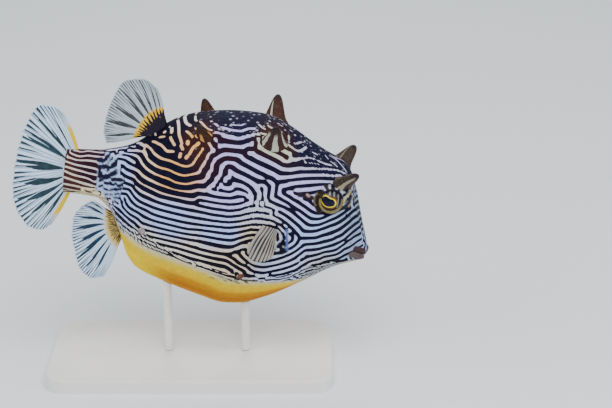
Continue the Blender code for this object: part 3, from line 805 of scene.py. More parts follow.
# Dark lines of the flank, as (behind the snout, high)
DARK_LINES = tuple(map(Mark, (
    ((32.0, 21.9), (27.4, 23.5), (21.5, 24.5), (16.6, 25.1)),
    ((31.9, 21.0), (28.8, 19.3), (26.0, 17.9), (23.7, 16.5), (21.5, 15.2), (19.4, 14.6), (17.1, 14.9),
     (14.6, 15.4), (12.2, 16.0)),
    ((34.5, 24.4), (34.3, 23.0), (34.3, 21.4), (34.5, 20.2), (33.4, 19.4), (32.8, 19.1), (30.0, 17.8),
     (27.4, 16.2), (25.2, 15.0), (23.1, 13.6), (21.4, 12.8), (19.6, 12.7), (17.3, 13.3), (15.3, 14.4),
     (13.1, 15.4), (11.4, 16.5), (9.6, 17.5), (9.0, 18.4)),
    ((36.2, 18.1), (34.3, 17.4), (32.5, 16.9), (31.3, 16.5), (28.3, 15.0), (25.5, 13.0), (23.2, 11.2),
     (21.1, 10.3), (18.9, 10.5), (16.8, 11.4), (15.1, 12.3), (13.4, 13.1), (11.6, 14.3), (9.8, 15.7),
     (8.6, 16.6)),
    ((32.2, 14.5), (30.1, 13.4), (27.2, 11.4), (25.2, 9.9), (23.7, 8.4), (21.7, 8.1), (19.3, 8.5),
     (17.0, 9.4), (14.9, 10.3), (13.4, 10.8), (11.6, 11.7), (10.3, 12.7), (8.9, 14.0), (7.5, 15.2),
     (6.4, 15.8), (4.8, 16.4)),
    ((32.0, 12.3), (29.9, 10.9), (27.8, 9.1), (25.9, 7.2), (24.8, 5.8), (24.7, 5.3), (23.5, 5.5),
     (19.5, 5.6), (17.2, 6.5), (14.4, 7.4), (11.7, 8.6), (9.9, 9.9), (8.5, 11.1), (7.1, 12.5),
     (6.0, 13.1), (4.3, 13.9)),
    ((24.7, 5.3), (24.9, 4.7), (25.4, 3.4), (26.8, 1.8), (28.7, 0.9), (30.2, 0.0)),
    ((40.0, -2.5), (38.6, -3.4), (36.4, -3.8), (33.7, -3.4), (30.2, -2.1), (28.3, -1.3), (26.2, -0.2),
     (24.9, 0.8), (23.4, 2.2), (22.3, 3.0), (19.1, 3.5), (16.4, 4.1), (13.4, 4.9), (12.1, 5.6),
     (10.0, 6.7), (8.8, 7.9), (7.5, 9.1), (6.2, 10.1), (4.9, 10.7), (3.4, 11.4)),
    ((45.5, -1.0), (44.5, -0.7), (43.7, -1.9), (41.7, -3.9), (39.7, -5.5), (36.9, -6.1), (33.5, -5.5),
     (30.0, -4.4), (27.0, -3.1), (25.2, -1.9), (24.3, -0.9), (22.3, 0.8), (18.0, 1.2), (15.3, 1.9),
     (12.6, 2.8), (10.8, 3.5), (9.1, 4.4), (8.0, 5.6), (6.9, 6.8), (5.8, 7.7), (4.6, 8.4), (3.2, 9.1)),
    ((48.5, -2.7), (46.5, -3.5), (44.0, -5.2), (42.0, -5.9), (40.7, -6.3), (39.7, -7.1), (38.3, -7.9),
     (36.0, -8.0), (33.3, -7.5), (29.7, -6.6), (26.6, -5.4), (24.4, -3.9), (22.1, -2.5), (20.9, -1.8),
     (18.6, -1.2), (17.0, -0.7), (15.1, 0.0), (13.4, 0.1), (11.5, 0.6), (9.8, 1.9), (7.9, 3.8),
     (6.6, 4.7), (5.6, 5.4), (3.6, 6.0)),
    ((33.1, -9.1), (29.5, -8.7), (26.9, -8.1), (24.4, -6.8), (22.2, -5.1), (20.2, -3.8), (18.4, -3.2),
     (16.6, -2.7), (15.2, -2.0), (14.0, -1.8), (11.2, -1.3), (9.5, -0.2), (8.5, 0.6), (7.3, 1.1),
     (5.8, 2.1), (4.6, 3.1), (3.0, 3.8)),
    ((22.9, -7.5), (22.0, -6.9), (20.4, -6.1), (18.1, -5.5), (16.5, -4.8), (13.9, -3.9), (11.6, -3.5),
     (9.5, -2.9), (8.3, -2.1), (6.8, -1.3), (5.1, -0.4), (3.7, 0.7), (2.2, 1.3)),
    ((22.7, -9.1), (21.4, -8.8), (20.0, -8.1), (16.2, -7.2), (15.0, -6.4), (13.6, -5.7), (10.8, -4.6),
     (9.0, -4.1), (7.2, -3.7)),
    ((21.5, -10.4), (18.5, -9.7)),
    ((34.6, 11.2), (32.9, 10.6), (31.6, 10.2), (30.4, 9.2), (29.4, 8.4)),
    ((33.7, 8.0), (32.7, 7.2), (32.1, 6.4), (31.8, 4.8)),
    ((88.8, 4.4), (87.1, 2.7), (85.4, 1.8), (83.2, 0.6), (81.1, 0.1), (79.4, -0.5)),
    ((88.4, 0.8), (86.3, -0.1), (85.1, -0.7), (83.1, -1.5), (81.2, -2.3)),
    ((87.4, -2.2), (85.5, -3.3)),
    ((27.7, 7.2), (26.8, 5.7), (27.1, 4.5)),
    ((55.1, 32.1), (52.9, 33.2), (49.7, 33.3), (47.0, 33.3), (45.1, 34.3), (43.0, 34.9)),
    ((55.2, 36.0), (50.0, 36.1), (45.5, 37.4)),
    ((43.3, 38.0), (42.9, 34.7), (40.0, 33.1), (37.4, 32.2), (35.0, 31.1), (32.9, 30.3), (31.1, 30.2),
     (27.4, 31.2)),
    ((46.5, 33.0), (44.8, 31.6), (42.8, 30.8), (39.9, 29.9), (36.7, 28.9), (34.5, 28.0), (32.9, 27.5),
     (30.5, 27.5), (27.0, 28.5)),
    ((55.3, 27.1), (54.9, 28.7), (53.6, 29.9), (51.8, 30.6), (49.4, 30.7), (47.3, 29.8), (45.2, 29.0),
     (42.8, 27.9), (39.9, 26.6), (37.8, 25.8), (35.8, 25.2), (34.5, 24.4), (33.3, 24.7), (30.1, 25.4),
     (26.6, 26.0)),
    ((52.2, 26.8), (51.5, 28.1), (50.3, 28.0), (48.2, 27.0), (46.1, 26.3), (44.1, 25.6), (42.0, 24.9),
     (39.2, 24.4), (37.7, 23.8), (36.9, 22.6), (36.8, 21.3), (37.0, 19.9), (36.2, 18.1)),
    ((55.1, 32.1), (56.7, 31.0), (57.4, 29.2), (57.9, 26.7)),
    ((50.9, 22.3), (49.6, 23.5), (48.2, 23.9), (46.6, 23.6), (45.0, 23.0), (43.2, 21.9), (41.9, 20.3),
     (41.2, 18.4)),
    ((86.8, 26.4), (84.1, 26.6), (81.6, 26.1), (80.1, 25.3), (79.0, 24.0), (77.0, 23.1), (74.3, 22.5)),
    ((88.0, 24.8), (85.9, 25.1), (84.0, 24.4), (82.4, 23.7), (81.1, 22.3), (79.1, 21.1), (76.6, 20.6),
     (73.8, 20.0)),
    ((88.6, 23.0), (86.4, 22.8), (84.9, 22.3), (83.0, 21.9), (81.3, 21.6)),
    ((86.8, 20.7), (85.2, 20.1), (82.0, 19.6), (80.4, 18.4), (78.1, 17.6), (75.7, 17.4), (71.9, 17.0),
     (66.0, 16.7), (61.7, 16.6), (60.1, 17.7), (57.8, 17.8), (54.1, 17.5), (50.2, 17.7), (47.0, 18.6),
     (45.2, 18.7), (44.1, 17.9), (44.4, 17.0), (46.1, 16.4), (48.5, 15.8), (52.1, 15.5), (57.5, 15.7),
     (59.3, 15.6), (61.2, 14.4), (62.7, 14.1), (67.3, 14.3), (72.6, 14.3), (76.1, 15.0), (79.0, 15.6),
     (81.2, 16.2), (82.6, 17.3), (85.5, 17.7), (86.9, 18.4)),
    ((60.4, 13.9), (57.3, 13.6), (53.7, 13.4), (50.0, 13.4), (46.5, 14.1), (43.8, 15.3), (41.3, 16.0)),
    ((87.4, 15.9), (86.1, 16.2), (85.5, 15.5), (82.9, 15.3), (81.5, 14.1), (79.5, 13.0), (76.9, 12.6),
     (73.3, 12.1), (70.0, 11.8), (64.4, 11.7), (58.9, 11.6), (53.4, 11.2), (49.8, 11.2), (46.3, 11.9),
     (42.8, 13.1), (40.0, 13.9), (36.8, 13.8)),
    ((85.8, 13.4), (83.8, 13.7), (82.6, 12.7), (81.1, 11.3), (78.7, 10.3), (75.6, 9.9), (72.1, 9.7),
     (64.1, 9.4), (58.7, 9.2), (53.2, 9.1), (49.2, 9.3), (45.4, 10.1), (42.2, 11.2), (39.0, 11.7),
     (35.4, 11.4)),
    ((86.5, 11.5), (84.6, 11.8), (83.5, 10.9), (82.3, 9.7), (80.2, 8.5), (77.2, 8.2), (74.6, 7.4),
     (71.0, 7.1), (63.9, 6.9), (58.4, 6.9), (53.0, 7.2), (49.4, 7.4), (45.9, 8.1), (42.7, 8.9),
     (39.9, 9.6), (36.3, 9.6), (33.7, 9.3), (32.4, 8.8), (31.4, 7.8), (30.5, 6.6), (30.0, 5.5)),
    ((85.0, 10.1), (84.4, 8.6), (83.0, 7.2), (80.3, 6.5), (77.4, 5.5), (74.3, 5.1), (69.6, 5.0),
     (62.8, 4.7), (58.2, 5.2), (52.8, 5.2), (49.2, 5.2), (46.0, 5.9), (43.0, 7.0), (40.8, 7.7),
     (37.7, 7.7)),
    ((85.9, 8.7), (85.4, 6.8), (83.8, 5.4), (82.5, 4.6), (80.1, 4.0), (77.7, 2.9), (74.5, 2.9),
     (69.6, 2.8), (62.5, 2.9), (56.2, 3.0), (50.7, 2.8), (47.5, 3.0), (44.7, 4.1), (41.9, 5.4),
     (39.5, 5.8)),
    ((88.0, 5.8), (86.3, 5.1), (84.2, 3.7), (81.3, 2.4), (77.7, 0.6), (74.5, 0.8), (69.5, 1.0),
     (62.4, 1.0), (57.8, 1.1), (54.2, 0.8), (48.7, 0.5), (46.9, 0.7), (44.0, 2.5), (42.6, 3.2),
     (39.8, 4.0)),
    ((88.8, 4.8), (88.2, 3.9), (87.7, 2.7)),
    ((77.2, -1.1), (70.3, -1.0), (63.2, -1.2), (59.7, -1.7), (55.7, -2.1), (52.0, -2.4), (48.4, -2.3),
     (46.8, -1.9), (45.5, -1.0)),
    ((78.0, -2.5), (74.6, -2.9), (67.4, -3.0), (62.0, -3.5), (57.3, -4.2), (51.8, -4.7), (48.5, -4.8),
     (46.2, -5.9), (43.5, -7.2), (42.0, -8.0), (41.0, -9.4), (38.5, -9.8)),
    ((78.8, -4.0), (75.3, -4.4), (70.0, -4.9), (64.6, -5.2), (61.1, -5.8), (55.3, -6.4), (51.6, -6.8),
     (48.4, -7.1), (45.9, -8.3)),
    ((78.8, -5.6), (73.1, -6.1), (65.9, -6.6), (62.7, -7.5), (60.0, -7.8)),
    ((89.7, 17.9), (88.5, 18.1)),
    ((89.8, 15.6), (88.4, 15.7)),
    ((89.8, 13.4), (88.6, 13.7)),
    ((88.0, 13.7), (86.3, 14.5)),
    ((90.2, 11.6), (89.4, 11.8)),
    ((88.3, 12.1), (86.9, 12.8)),
    ((88.5, 10.5), (86.8, 11.1)),
    ((88.6, 9.0), (86.6, 9.8)),
    ((92.2, 13.6), (90.7, 13.8)),
    ((92.3, 11.2), (91.0, 11.6)),
    ((91.9, 9.4), (91.0, 9.7)),
    ((90.6, 19.6), (90.4, 19.0)),
    ((93.6, 17.2), (94.2, 16.8)),
    ((103.7, 22.5), (101.8, 22.3), (98.5, 23.0), (94.2, 23.0)),
    ((105.0, 21.2), (102.1, 20.5), (98.9, 21.1), (95.4, 21.2), (93.9, 20.8), (93.5, 19.3), (93.8, 18.4)),
    ((105.6, 19.6), (101.5, 19.1), (98.0, 19.0), (95.1, 18.8)),
    ((106.0, 18.2), (101.3, 17.4), (97.8, 17.1), (95.7, 16.9)),
    ((105.7, 16.4), (102.1, 15.6), (98.8, 15.4), (95.4, 14.9)),
    ((106.4, 14.6), (102.3, 13.7), (98.0, 13.3), (95.4, 12.5)),
    ((106.6, 12.2), (102.6, 11.6), (98.7, 11.1), (97.0, 11.1)),
    ((106.6, 9.9), (103.8, 9.7), (100.7, 9.8)),
    ((106.0, 7.4), (102.8, 8.0)),
)))
# Light lines of the flank, then of the shoulder by turn of the girth
LIGHT_LINES = tuple(map(Mark, (
    ((52.8, 21.5), (51.7, 20.9), (50.3, 20.8), (49.2, 21.4), (48.1, 22.3), (46.4, 22.3), (44.8, 21.8),
     (43.4, 20.8), (42.2, 19.0), (42.1, 17.3), (43.9, 16.1), (46.6, 14.9), (50.2, 14.4), (57.4, 14.6)),
    ((52.1, 29.0), (53.2, 26.8), (53.8, 24.8), (54.8, 22.7), (56.0, 20.6), (57.2, 19.5)),
    ((51.8, 23.5), (50.8, 24.8), (49.7, 25.9), (48.2, 25.5), (46.4, 25.0), (44.3, 24.2), (41.9, 22.9),
     (40.2, 21.3), (39.7, 19.2)),
    ((57.0, 19.3), (54.2, 18.7), (49.9, 18.6), (46.8, 19.7), (44.8, 19.6), (43.3, 18.7)),
    ((58.3, 16.5), (53.6, 16.3), (50.0, 16.4), (46.8, 16.9), (45.1, 17.7)),
    ((57.4, 19.6), (56.5, 20.6), (55.6, 21.5), (54.9, 22.3)),
    ((85.5, 28.1), (84.2, 27.9), (82.1, 27.6), (81.1, 27.5), (78.9, 25.3), (76.3, 24.1), (74.3, 23.6),
     (71.4, 23.7), (68.7, 23.1), (66.0, 22.8), (63.4, 23.6), (61.1, 24.6), (60.4, 25.8), (59.3, 28.1)),
    ((58.7, 29.3), (57.9, 31.4)),
    ((69.6, 26.4), (65.3, 26.0), (63.3, 27.1), (62.0, 29.4), (60.9, 31.3), (60.5, 32.5)),
    ((88.2, 25.9), (85.7, 26.1), (83.5, 25.7), (81.9, 25.2), (80.1, 23.4), (77.8, 21.7), (75.1, 21.0),
     (71.1, 20.9), (67.7, 20.0), (65.0, 20.1), (61.5, 21.5), (58.8, 22.3), (57.1, 25.8), (56.2, 29.5)),
    ((88.3, 21.8), (86.5, 21.9), (84.8, 21.1), (82.6, 21.0), (80.9, 20.3), (79.1, 19.3), (75.8, 18.5),
     (71.5, 17.8), (68.0, 17.4), (63.7, 17.9), (60.3, 18.9), (58.2, 19.0)),
    ((91.4, 20.7), (90.4, 21.6), (89.9, 22.8), (88.1, 24.0), (86.0, 23.8), (82.8, 22.8)),
    ((88.3, 21.8), (88.0, 19.7), (87.7, 17.2)),
    ((93.3, 19.8), (91.8, 21.2), (91.0, 23.2), (90.6, 24.1)),
    ((91.7, 17.3), (91.2, 18.2), (89.4, 19.2), (88.7, 19.5)),
    ((90.6, 9.0), (90.5, 16.5)),
    ((93.1, 20.3), (93.4, 19.8)),
    ((93.4, 17.9), (93.2, 18.1)),
    ((92.7, 23.4), (92.4, 23.6)),
    ((104.3, 21.8), (101.7, 21.2), (99.0, 22.1), (95.6, 22.2), (93.8, 22.2)),
    ((105.9, 20.5), (102.9, 19.9), (98.8, 20.3), (96.5, 20.3), (94.9, 19.9)),
    ((106.4, 18.9), (102.3, 18.2), (97.9, 18.1), (95.6, 17.9), (94.7, 17.2), (95.2, 16.0), (97.7, 16.0),
     (100.7, 16.5), (106.4, 17.2)),
    ((106.4, 15.8), (103.1, 14.8), (98.7, 14.3), (95.9, 13.4), (95.1, 13.8), (94.9, 15.3)),
    ((106.4, 13.5), (102.4, 12.7), (98.2, 12.0), (96.4, 11.8)),
    ((106.4, 10.9), (100.8, 10.6)),
    ((57.6, -0.8), (54.0, -1.2), (50.3, -1.4), (46.9, -0.9)),
    ((45.8, -2.3), (43.9, -3.7), (42.7, -4.6)),
    ((45.5, 0.0), (43.3, 1.2), (41.5, 1.4)),
    ((43.6, -1.2), (41.4, -3.2), (38.9, -4.7), (35.4, -4.9), (31.8, -4.1), (28.3, -2.6), (24.9, -0.4),
     (23.4, 0.9)),
    ((40.6, -5.4), (38.3, -6.8), (35.1, -7.1), (31.6, -6.0), (26.3, -4.3), (23.5, -3.3)),
    ((36.0, -2.7), (33.1, -2.1), (30.3, -1.0), (27.8, 0.3)),
))) + tuple(Mark(points, Zone.GIRTH) for points in (
    ((27.5, 37.7), (23.5, 35.3), (19.7, 32.0), (18.4, 31.0)),
    ((31.1, 27.7), (28.5, 26.0), (26.4, 23.3), (24.7, 20.0), (22.9, 18.0)),
    ((30.6, 31.6), (26.4, 28.4), (22.2, 24.7), (18.6, 20.2), (15.1, 16.3), (12.0, 13.7)),
    ((30.4, 34.0), (26.2, 31.0), (19.8, 26.0), (15.4, 22.4), (13.2, 19.1)),
    ((30.1, 36.3), (25.9, 33.7), (19.9, 29.5), (15.6, 27.0), (12.4, 22.1), (10.8, 16.3)),
    ((40.5, 24.8), (38.1, 26.2), (36.8, 26.7), (33.8, 26.2), (31.2, 26.0)),
    ((56.9, 23.3), (54.6, 24.2), (51.6, 25.7), (48.4, 25.9), (45.4, 24.4), (43.3, 22.5), (42.1, 21.5)),
))
# Light marks drawn on the plain dark back, as (breadth, points)
DRAWN_LINES = tuple(Mark(points, Zone.GIRTH, breadth) for breadth, points in (
    (1.0, ((70.0, 2.7), (69.3, 13.2), (68.9, 19.9), (68.5, 23.4), (67.5, 27.3))),
    (1.1, ((67.9, 0.0), (67.3, 8.3), (66.8, 11.6), (65.4, 15.3))),
    (0.8, ((64.2, 2.4), (64.0, 9.0), (63.5, 10.5))),
    (0.8, ((62.3, 11.8), (60.9, 16.4), (59.5, 20.1), (58.0, 21.5))),
    (1.0, ((63.4, 19.1), (60.4, 24.9), (58.3, 28.2), (56.5, 31.3))),
    (0.9, ((58.7, 12.2), (58.5, 12.6))),
    (0.9, ((57.3, 15.1), (56.2, 17.6))),
    (1.1, ((54.8, 19.0), (54.2, 19.3), (51.5, 20.9), (48.8, 21.4), (45.7, 18.6), (43.9, 18.0))),
    (0.7, ((52.2, 15.5), (49.7, 16.6), (47.2, 14.3))),
    (1.2, ((71.6, 12.3), (71.4, 17.6))),
    (1.0, ((71.6, 21.8), (71.0, 24.7), (69.9, 27.3))),
    (0.9, ((75.3, 16.5), (73.7, 18.7))),
    (1.3, ((73.9, 12.6), (73.8, 13.4))),
    (0.7, ((77.1, 5.5), (76.8, 10.8))),
    (0.9, ((77.5, 17.0), (75.2, 23.3), (73.4, 26.9), (72.0, 29.4), (70.0, 30.2))),
    (0.9, ((80.1, 15.8), (77.7, 24.9), (74.5, 31.1), (71.3, 33.8), (67.6, 35.8))),
    (1.3, ((65.5, 27.1), (65.5, 27.8))),
    (0.9, ((66.4, 20.3), (64.9, 23.7), (64.3, 25.4))),
    (0.9, ((63.1, 25.1), (62.6, 25.7))),
    (1.2, ((61.9, 28.1), (62.4, 28.7))),
    (1.0, ((63.0, 29.1), (63.5, 29.6), (64.5, 32.0))),
    (1.2, ((65.1, 32.8), (65.5, 33.4))),
    (1.1, ((67.6, 28.3), (67.0, 29.7))),
    (1.1, ((67.5, 31.6), (67.7, 32.8))),
    (1.0, ((82.9, 2.4), (80.7, 15.3), (79.9, 22.0), (78.8, 27.8))),
    (0.7, ((72.4, 8.1), (72.5, 9.6))),
    (0.8, ((48.5, 16.1), (47.2, 14.2))),
    (0.8, ((42.6, 13.7), (41.1, 16.4), (40.4, 16.9))),
    (0.9, ((39.5, 12.8), (36.5, 14.5), (34.8, 14.3))),
    (1.1, ((41.1, 21.4), (38.8, 21.1), (36.8, 23.1), (36.0, 23.7))),
    (1.0, ((35.3, 18.7), (33.7, 20.7), (29.7, 21.6), (28.4, 20.6), (27.0, 16.8), (25.9, 11.9))),
    (0.8, ((32.2, 12.5), (32.1, 16.8))),
    (0.8, ((29.4, 15.5), (28.6, 12.9), (27.8, 10.1))),
    (0.6, ((26.6, 4.4), (26.4, 5.9))),
    (0.6, ((30.5, 6.8), (30.1, 7.4))),
    (0.8, ((23.5, 12.2), (21.9, 11.6))),
    (0.9, ((21.4, 17.1), (19.0, 15.9), (16.8, 13.9))),
    (0.6, ((19.1, 5.7), (17.9, 8.3))),
    (0.7, ((17.0, 9.6), (16.1, 10.1), (14.6, 11.8))),
    (0.8, ((16.6, 1.0), (15.2, 1.8), (13.3, 5.4), (11.2, 9.6))),
    (0.6, ((36.8, 10.4), (36.2, 10.9))),
    (0.6, ((35.8, 7.0), (34.5, 5.7))),
))
JOINT_PALE, JOINT_DARK = (0.36, 0.46, 0.72), (0.008, 0.008, 0.026)
# Checks on the joint of carapace and tail stalk, as rows of (breadth, points) for each tone in turn; the
# first dark rows are painted shade along the joint
JOINT_CHECKS_AND_SHADE = (
    # Painted shade: two broad dark bands where the carapace meets the tail stalk
    (JOINT_DARK, (
        (2.4, ((94.5, 24.0), (93.2, 31.0), (92.6, 35.5))),
        (2.4, ((92.2, 19.0), (90.8, 26.0), (89.8, 31.5))),
    )),
    (JOINT_PALE, (
        (2.5, ((94.1, 38.0), (94.0, 45.6), (93.8, 55.7), (93.9, 63.7))),
        (2.6, ((92.1, 39.0), (91.6, 43.6), (91.3, 52.4), (91.5, 59.7), (91.4, 66.7))),
        (2.6, ((89.6, 37.5), (89.5, 40.9), (89.2, 49.6), (89.4, 56.9), (89.4, 63.8))),
        (2.4, ((87.6, 43.0), (87.1, 47.2), (87.4, 53.6), (87.8, 59.8), (88.1, 66.0))),
    )),
    (JOINT_DARK, (
        (1.71, ((94.4, 30.0), (94.3, 36.0), (94.2, 45.5))),
        (1.16, ((94.1, 51.5), (93.0, 48.4))),
        (0.93, ((94.2, 60.5), (93.0, 57.3))),
        (0.78, ((94.2, 68.4), (93.8, 68.2))),
        (2.02, ((92.3, 44.5), (91.4, 43.1), (90.6, 39.9))),
        (1.16, ((92.2, 52.5), (91.3, 52.1), (90.4, 49.8))),
        (0.93, ((92.2, 60.9), (91.0, 60.3))),
        (0.78, ((91.8, 68.8), (91.0, 65.6))),
        (1.4, ((91.7, 36.2), (91.4, 33.1), (90.3, 30.2), (89.5, 28.2), (89.1, 25.3))),
        (0.46, ((91.7, 72.8), (91.0, 71.8))),
        (1.86, ((89.6, 38.8), (89.1, 37.6), (88.6, 35.4))),
        (1.4, ((89.7, 45.6), (88.7, 44.4))),
        (1.01, ((89.9, 51.3), (89.2, 50.7), (88.4, 48.1))),
        (0.93, ((90.1, 58.5), (89.4, 56.6), (88.5, 54.0))),
        (0.7, ((90.2, 64.6), (89.6, 62.7))),
        (1.47, ((87.8, 44.0), (86.9, 43.7), (86.0, 42.3))),
        (1.16, ((87.7, 50.0), (86.9, 49.1), (86.2, 47.2))),
        (1.01, ((88.2, 55.2), (87.5, 53.4), (86.5, 51.7))),
        (0.78, ((88.5, 60.8), (87.8, 58.6), (87.0, 57.0))),
        (0.78, ((88.6, 64.7), (87.7, 62.7), (86.8, 61.5))),
        (0.7, ((88.5, 68.0), (87.4, 67.4))),
    )),
    (JOINT_PALE, (
        (0.6, ((93.3, 28.5), (92.5, 26.2), (91.6, 22.9), (91.3, 18.3))),
        (0.75, ((91.4, 29.6), (91.1, 27.3), (90.1, 24.8), (89.5, 21.8), (89.0, 18.4), (87.9, 18.8))),
        (0.6, ((91.7, 39.6), (90.7, 36.4), (89.7, 34.5), (88.9, 32.7), (88.2, 33.9), (88.0, 37.2),
          (87.7, 40.3), (86.6, 41.2), (85.8, 42.2))),
        (0.8, ((93.4, 36.9), (93.3, 37.7))),
        (0.8, ((94.5, 28.2), (94.5, 29.0))),
        (1.0, ((92.9, 14.0), (92.7, 12.0))),
    )),
)
# Touches on the face, the orbits, the gill slit and the lower edge, as (breadth, tone, points); the thin dark
# one in the crease between the lips is painted shade
TOUCHES = (
    (1.3, (0.12, 0.05, 0.03), ((15.1, 27.5), (13.4, 26.5), (11.9, 24.2))),
    (1.1, (0.035, 0.02, 0.02), ((18.2, 30.4), (17.6, 31.5), (17.5, 33.4))),
    (1.7, (0.006, 0.008, 0.03), ((15.5, 28.8), (15.3, 31.0), (15.3, 33.5))),
    (1.1, (0.006, 0.008, 0.03), ((13.3, 28.3), (13.1, 31.0), (13.2, 34.2))),
    (0.55, (0.70, 0.70, 0.72), ((16.7, 29.3), (16.6, 31.1), (16.8, 33.4))),
    (0.55, (0.66, 0.68, 0.62), ((14.4, 28.2), (14.3, 30.4), (14.4, 33.4))),
    (0.9, (0.42, 0.47, 0.44), ((12.2, 26.6), (12.5, 31.5), (12.4, 35.8), (12.9, 40.4))),
    (1.3, (0.015, 0.018, 0.03), ((9.2, 26.9), (9.2, 29.6), (9.9, 33.7), (11.0, 37.9))),
    (1.5, (0.012, 0.010, 0.014), ((9.7, 20.6), (10.4, 24.4), (10.7, 27.0))),
    (0.6, (0.45, 0.27, 0.07), ((12.1, 28.1), (11.8, 25.4), (10.9, 21.0), (9.4, 17.2))),
    (0.7, (0.50, 0.42, 0.22), ((8.6, 16.8), (9.1, 22.3), (9.9, 27.6), (10.7, 31.0), (11.0, 34.0),
      (12.0, 37.8))),
    (0.55, (0.34, 0.29, 0.20), ((8.3, 23.1), (8.5, 29.5), (9.3, 34.7))),
    (1.6, (0.020, 0.012, 0.020), ((26.5, 39.2), (24.3, 38.6), (22.2, 38.4))),
    (0.9, (0.34, 0.22, 0.20), ((23.9, 37.8), (23.3, 38.1))),
    (1.5, (0.022, 0.014, 0.012), ((19.4, 34.0), (20.6, 36.5), (20.9, 39.0), (20.2, 41.8), (19.0, 44.2))),
    (0.45, (0.17, 0.13, 0.07), ((20.6, 35.4), (21.3, 37.3), (21.3, 39.4), (20.7, 41.4))),
    (1.6, (0.006, 0.006, 0.015), ((30.0, 59.8), (29.5, 60.6), (29.9, 62.7), (29.3, 64.1))),
    (1.4, (0.006, 0.006, 0.015), ((33.1, 64.5), (31.6, 64.8), (30.4, 64.7), (28.6, 63.9))),
    (1.9, (0.006, 0.006, 0.015), ((31.2, 60.9), (31.6, 61.9), (30.5, 63.2))),
    (0.5, (0.48, 0.50, 0.64), ((34.2, 55.6), (32.6, 55.5), (31.4, 56.6), (30.8, 58.1), (31.1, 59.4),
      (31.8, 60.5), (32.3, 61.6), (32.4, 62.6))),
    (0.9, (0.78, 0.78, 0.80), ((31.6, 63.3), (31.4, 63.3))),
    (0.6, (0.34, 0.32, 0.36), ((29.8, 61.9), (29.6, 61.9))),
    (0.9, (0.07, 0.12, 0.30), ((29.2, 54.6), (29.1, 56.7), (28.8, 58.6), (28.6, 60.6), (28.3, 63.3))),
    (2.6, (0.11, 0.078, 0.078), ((5.6, 67.8), (3.6, 67.2), (2.2, 71.6), (1.2, 80.0))),
    (2.0, (0.055, 0.030, 0.032), ((4.6, 57.8), (2.4, 54.0), (0.9, 50.0))),
    # Painted shade: a thin dark line in the crease between the lips
    (0.5, (0.012, 0.007, 0.009), ((4.8, 62.6), (3.2, 61.4), (1.4, 60.4))),
    (0.35, (0.16, 0.09, 0.03), ((56.0, 80.5), (54.4, 80.6))),
    (0.35, (0.16, 0.09, 0.03), ((53.4, 80.9), (52.0, 81.0))),
    (0.4, (0.12, 0.07, 0.03), ((50.6, 81.3), (49.0, 81.5))),
    (0.45, (0.03, 0.015, 0.012), ((49.3, 79.9), (47.6, 80.4))),
    (0.8, (0.025, 0.012, 0.012), ((46.8, 79.0), (45.6, 79.6))),
    (0.6, (0.03, 0.012, 0.012), ((44.4, 79.6), (43.0, 80.4))),
    (0.9, (0.035, 0.014, 0.014), ((41.2, 78.6), (40.4, 79.6))),
    (0.8, (0.66, 0.52, 0.26), ((39.2, 80.3), (38.5, 80.2))),
)
STROKES = (
    *(Stroke(points, breadth, tone) for tone, rows in JOINT_CHECKS_AND_SHADE for breadth, points in rows),
    *(Stroke(points, breadth, tone) for breadth, tone, points in TOUCHES),
)
BLUE_WHITE, LAVENDER, GREY_WHITE = (0.39, 0.50, 0.90), (0.46, 0.43, 0.80), (0.48, 0.50, 0.62)
CREAM, ORANGE_CREAM, SPINE_CREAM = (0.64, 0.52, 0.38), (0.80, 0.40, 0.11), (0.52, 0.54, 0.34)
BLACK_BLUE, MAROON, INK = (0.0045, 0.0040, 0.0150), (0.020, 0.0045, 0.010), (0.003, 0.003, 0.013)
BACK_BLUE, BROWN, SOOT = (0.005, 0.006, 0.026), (0.040, 0.012, 0.008), (0.007, 0.005, 0.007)
